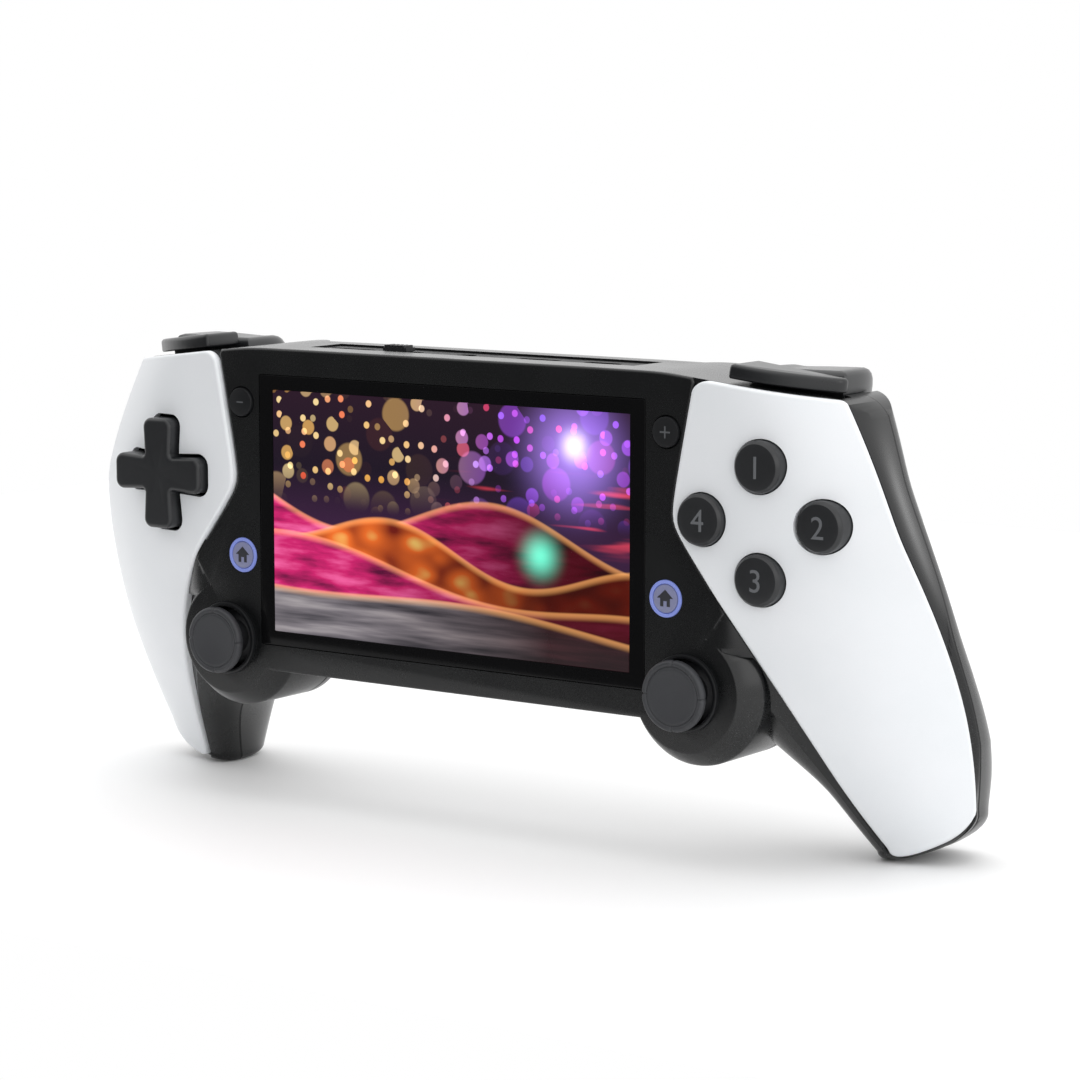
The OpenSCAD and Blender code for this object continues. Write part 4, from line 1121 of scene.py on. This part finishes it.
def flat_number(number, body):
    """A number that lies flat on a round button and faces the front."""
    name = f"number_{number}"
    curve = bpy.data.curves.new(name, "FONT")
    curve.body = str(number)
    curve.size = NUMBER_SIZE * MM
    curve.extrude = MARK_RISE * MM
    source = add(name, curve)
    mesh = final_mesh(source)
    bpy.data.objects.remove(source)
    drawn = np.array([vert.co for vert in mesh.vertices]) / MM
    drawn -= (drawn.max(0) + drawn.min(0)) / 2
    x, z = key_place(body)
    y = front_back(body)[0] - MARK_RISE
    for vert, (a, b, c) in zip(mesh.vertices, drawn):
        vert.co = Vector(np.array([a + x, y - c, b + z]) * MM + HOME)
    settle(add(name, mesh), name, body, "key", MARK_GREY)


for number, name in enumerate(FACE_BUTTONS, 1):
    front, back = front_back(name)
    profile = from_front(BUTTON_FACE, front) + [(5.4, 10.4), (6.4, 10.4), (6.4, 11.4), (4, back)]
    cap = turned("cap", profile, key_place(name), 96)
    settle(cap, f"round_button_{number}", name, "key", KEY_BLACK, name)
    flat_number(number, name)

# %% [markdown]
# The two small buttons beside the screen are almost the face's own black, with a thin grey plus or
# minus. The two below them glow: a smoky disc with a dark house on it sits in a ring of blue light.
# The ring could be a lamp, but an emissive material is steadier and travels with the exported model.

# %% Small buttons with plus and minus
SMALL_BLACK = moulded("small_key_black", "#131416", "#17181A", (0.4, 0.5), Specular_IOR_Level=0.3)
THIN_GREY = moulded("thin_mark_grey", "#4C4E51", "#545659", (0.45, 0.55))


def small_cap(name, r, bevel):
    """A small turned cap with a flange that keeps it in."""
    front, back = front_back(name)
    profile = [(0.3, front), (r - bevel, front), (r - bevel * 0.4, front + bevel * 0.2), (r, front + bevel),
               (r, 2.0), (r + 0.6, 2.4), (r + 0.6, 3.2), (1.2, 3.4), (1.1, back)]
    return turned("cap", profile, key_place(name), 72)


def raised_mark(name, outline, body, finish):
    """A mark on a cap's face, drawn about the cap's middle."""
    front, _ = front_back(body)
    rows = [(front - MARK_RISE, 0), (front + MARK_SINK, 0)]
    settle(stack("mark", np.array(outline) + key_place(body), rows), name, body, "key", finish)


for name, sign in (("minus", oblong(-0.9, 0.9, -0.15, 0.15)), ("plus", plus_shape(1.25, 0.17, 0.17))):
    body = f"{name}_button"
    settle(small_cap(body, 3.2, 0.3), f"{name}_cap", body, "key", SMALL_BLACK, body)
    raised_mark(f"{name}_sign", sign, body, THIN_GREY)

# %% Lit buttons and their rings
RING_LIGHT = moulded("ring_light", "#6A76B0", "#7682BC", (0.3, 0.4), Emission_Color=linear("#7C8CE0"),
                     Emission_Strength=0.26)
SMOKE_GREY = moulded("smoke_grey", "#6E7088", "#787A92", (0.3, 0.4), Emission_Color=linear("#50557A"),
                     Emission_Strength=0.35)
HOUSE_DARK = moulded("house_dark", "#24252B", "#2A2B31", (0.4, 0.5))
HOUSE = 1.2 * np.array([(-1.0, -1.35), (-0.34, -1.35), (-0.34, -0.4), (0.34, -0.4), (0.34, -1.35),
                        (1.0, -1.35), (1.0, 0.1), (1.65, 0.1), (0, 1.6), (-1.65, 0.1), (-1.0, 0.1)])
RING_FACE = ((3.15, 0.15), (3.25, 0.03), (3.4, 0), (3.68, 0), (3.83, 0.05), (3.9, 0.2))
for _, side in SIDES:
    body = f"{side}_lit_button"
    ring = f"{side}_light_ring"
    settle(small_cap(body, 3.0, 0.25), f"{side}_lit_cap", body, "key", SMOKE_GREY, body)
    raised_mark(f"{side}_house_mark", HOUSE, body, HOUSE_DARK)
    front, back = front_back(ring)
    profile = [(3.15, back), *from_front(RING_FACE, front), (3.9, back)]
    glowing = turned("ring", profile, key_place(ring), 96, loop=True)
    settle(glowing, f"{side}_glow_ring", "body", "light_ring", RING_LIGHT, ring)

# %% [markdown]
# A thumb stick is a rubber cap on a neck, over a dome that keeps dust out when it tilts. The cap has
# a dished middle, a groove, a round rim and four small nicks. It is turned as one profile, and the
# nicks push a few points of the rim in. The neck narrows towards the collar so that it clears it at
# full tilt.

# %% Sticks and collars
STICK_RUBBER = moulded("stick_rubber", "#313235", "#393A3D", (0.42, 0.54), scale=6000, depth=0.06,
                       Specular_IOR_Level=0.35)
COLLAR_BLACK = moulded("collar_black", "#101113", "#141517", (0.3, 0.4), Specular_IOR_Level=0.3)
CAP_FRONT = -5.2
BALL_Y, BALL_R = 10, 8.55
NICK, NICK_DEGREES = 0.32, 3.2
STICK_PROFILE = [(0.4, 0.36), (2.0, 0.34), (4.0, 0.26), (5.3, 0.13), (5.75, 0.08), (5.95, 0.18), (6.05, 0.3),
                 (6.2, 0.3), (6.3, 0.16), (6.5, 0.03), (6.8, 0.0), (7.1, 0.1), (7.36, 0.36), (7.48, 0.8),
                 (7.5, 1.2), (7.42, 1.6), (7.1, 1.95), (6.6, 2.1), (5.4, 2.15), (4.4, 2.2), (3.9, 2.35),
                 (3.7, 2.7), (3.6, 3.3), (3.65, 4.1), (3.8, 4.7), (4.0, 5.6)]
COLLAR = ((7.2, 2.2), (7.2, -0.6), (7.3, -0.82), (7.5, -0.9), (7.9, -0.9), (8.1, -0.8), (8.2, -0.55),
          (8.2, 0.05), (7.55, 0.05), (7.55, 2.2))


def stick(side):
    """One stick, as rings about its own axis with four nicks in the rim."""
    x, z = stick_place(side)
    profile = from_front(STICK_PROFILE, CAP_FRONT)
    dome = np.radians(np.linspace(28, 57, 10))
    profile += [(BALL_R * math.sin(a), BALL_Y - BALL_R * math.cos(a)) for a in dome]
    profile += [(6.4, 5.4), (3, 3.0), (1.8, 3.4), (1.8, 11)]
    rings = []
    for r, y in profile:
        ring = []
        on_rim = 6.25 < r < 7.6 and y < CAP_FRONT + 1.9
        for a in full_turn(144):
            off = abs((math.degrees(a) + 45) % 90 - 45)
            nick = NICK * max(0.0, 1 - off / NICK_DEGREES) if on_rim else 0.0
            push = nick if y < CAP_FRONT + 0.6 else 0.0
            reach = r - nick * 0.8
            ring.append((x + reach * math.cos(a), y + push, z + reach * math.sin(a)))
        rings.append(ring)
    return skin("stick", rings)


for side, name in SIDES:
    body = f"{name}_stick"
    settle(stick(side), f"{name}_thumb_stick", body, "stick_rubber", STICK_RUBBER, body, angle=50)
    collar = turned("collar", COLLAR, stick_place(side), 96, loop=True)
    settle(collar, f"{name}_collar", "body", "collar", COLLAR_BLACK, f"{name}_stick_ring")

# %% [markdown]
# The bumpers are curved bars that follow the front of the shoulder, and the triggers are round
# paddles behind them. Both have soft edges all round. The trigger's top falls away at the back, so
# its rows are measured between its own upper and lower lines rather than at fixed heights.

# %% Bumpers and triggers
SHOULDER_BLACK = moulded("shoulder_black", "#17181A", "#1C1D1F", (0.26, 0.33), scale=5200, depth=0.05,
                         Specular_IOR_Level=0.5)
BUMPER_START, BUMPER_END, BUMPER_BACK = 2.7, 24.7, 14.6
TRIGGER_START, TRIGGER_HALF = 0.8, 11.2
TRIGGER_FRONT, TRIGGER_HEEL = 15.2, 35.2
TRIGGER_EDGE = 2.0
TRIGGER_ROWS = ((0, 0.6), (0.06, 0.1), (0.15, 0), (0.6, 0), (0.76, 0.14), (0.88, 0.5), (0.96, 1.1),
                (1, TRIGGER_EDGE))


def bumper(side):
    """A bar with a curved front in the shoulder's frame."""
    along = np.linspace(0, 1, 13)
    points = [(BUMPER_START + (BUMPER_END - BUMPER_START) * t, 3.4 + 9 * t * t) for t in along]
    points += [(BUMPER_END, BUMPER_BACK), (BUMPER_START, BUMPER_BACK)]
    outline = eased(points, [2.6] + [0.6] * 11 + [1.4, 0.9, 0.8], 5)
    return stack("bumper", outline, edge_rows(0.75, 3.75, 0.4, 0.9), partial(at_shoulder, side))


def trigger_top(x, y):
    """The trigger's upper line: higher to the outside, falling away at the heel."""
    past = clamp((y - TRIGGER_HEEL + 8) / 8)
    return 2.1 + 0.16 * max(0.0, x - 6.4) - 6 * (1 - math.sqrt(1 - past * past))


def trigger(side):
    """A paddle: rows between its lower and upper lines, then rings in to the middle of its top."""
    middle = np.array([12.0, 24.0])
    plan = [(TRIGGER_START, TRIGGER_FRONT)]
    for a in np.linspace(np.pi, 0, 41):
        wide = math.copysign(abs(math.cos(a)) ** 0.7, math.cos(a))
        plan.append((TRIGGER_START + TRIGGER_HALF * (1 + wide), 17.2 + 17.9 * math.sin(a) ** 0.7))
    plan = np.array(plan + [(TRIGGER_START + 2 * TRIGGER_HALF, TRIGGER_FRONT)])
    rings = []
    for share, pull in TRIGGER_ROWS:
        ring = []
        for x, y in inset(plan, pull):
            low = -5.2 + 1.6 * clamp((y - 21) / 14)
            ring.append(at_shoulder(side, x, y, low + (trigger_top(x, y) - low) * share))
        rings.append(ring)
    rim = inset(plan, TRIGGER_EDGE)
    for scale in (0.8, 0.6, 0.4, 0.2, 0.05):
        crown = 0.15 * (1 - scale * scale)
        inside = middle + (rim - middle) * scale
        rings.append([at_shoulder(side, x, y, trigger_top(x, y) + crown) for x, y in inside])
    return skin("trigger", rings)


for side, name in SIDES:
    for key, shape, part, angle in (("bumper", bumper, "bar", 32), ("trigger", trigger, "paddle", 50)):
        body = f"{name}_{key}"
        settle(shape(side), f"{body}_{part}", body, "shoulder", SHOULDER_BLACK, body, angle=angle)

# %% [markdown]
# Along the top runs a strip of matt plastic with the sockets and the slide switch. The strip is an
# upright stack with rounded slots cut through it. The socket shells under it keep their CAD shape and
# get real metals.

# %% Socket strip and screws
STRIP_BLACK = moulded("strip_black", "#121315", "#17181A", (0.45, 0.55), Specular_IOR_Level=0.3)
STEEL = moulded("screw_steel", "#3A3C3F", "#55585B", (0.3, 0.42), cloud=900, Metallic=1.0)
STRIP_Y = 13.5
SLOTS = ((-35, 12, 1.6, 0.5), (-21, 9.6, 2.4, 0.5), (15, 10.6, 2.8, 1.0), (31.5, 9.2, 3.3, 1.6))
HEAD = ((0.9, 16.5), (0.9, 22.7), (2.0, 22.7), (2.0, 23.5), (1.75, 23.85), (1.2, 24))
strip = stack("strip", oblong(-43, 43, 8, 19, 1.2), edge_rows(34.5, 35.7, 0, 0.2), upright)
holes = [oblong(x - w / 2, x + w / 2, STRIP_Y - d / 2, STRIP_Y + d / 2, r) for x, w, d, r in SLOTS]
holes.append([(-4.3 + 2.5 * math.cos(a), STRIP_Y + 2.5 * math.sin(a)) for a in full_turn(48)])
combine(strip, [stack("slot", hole, [(33, 0), (37, 0)], upright) for hole in holes])
settle(strip, "socket_strip_plate", "body", "shell", STRIP_BLACK, "socket_strip")
heads = []
for x, z in SCREWS:
    tool = [stack("tool", oblong(x - a, x + a, z - b, z + b), [(23.3, 0.2), (25, 0)])
            for a, b in ((1.2, 0.32), (0.32, 1.2))]
    heads.append(combine(turned("head", HEAD, (x, z), 48), tool))
combine(heads[0], heads[1:], "UNION")
settle(heads[0], "case_screw_set", "body", "steel", STEEL, "case_screws")

# %% [markdown]
# What is left of the CAD model is mostly inside: boards, battery, membranes, yokes and pins. Those
# shapes are right as they are, so they keep them and only get finishes, chosen by the record's
# material slots.

# %% Finishes for the pieces inside
INSIDE = {
    "board": moulded("board_green", "#14402B", "#1C5237", (0.35, 0.5), cloud=400),
    "battery": moulded("battery_foil", "#8A9096", "#9AA0A6", (0.3, 0.45), cloud=200, Metallic=0.6),
    "gasket": moulded("gasket_foam", "#232425", "#303132", (0.8, 0.9), depth=0.2),
    "mechanism": moulded("mechanism_grey", "#2B2D30", "#3A3C40", (0.4, 0.55)),
    "steel": moulded("bright_steel", "#A8ACB0", "#BFC3C7", (0.25, 0.4), cloud=900, Metallic=1.0),
    "shell": SHELL_BLACK,
    "key": KEY_BLACK,
}
for part in frame["record"]["subparts"]:
    left = frame["nodes"][part["node"]]
    if part["material_slot"] in INSIDE and not left.hide_render:
        left.data.materials.clear()
        left.data.materials.append(INSIDE[part["material_slot"]])
        print("inside", part["node"], part["material_slot"])

# %% [markdown]
# The console stands on a pale floor, level with the bottom of the CAD model's box.

# %% Floor and finish
floor_z = cad_box[0].z
floor_mesh = bpy.data.meshes.new("floor")
corners = [(x, y, floor_z) for x, y in oblong(-0.5, 0.5, -0.14, 0.5)]
floor_mesh.from_pydata(corners, [], [(0, 1, 2, 3)])
floor = add("floor", floor_mesh)
floor_mesh.materials.append(moulded("floor_white", "#F4F4F4", "#F6F6F6", (0.6, 0.7), depth=0.0, cloud=3))
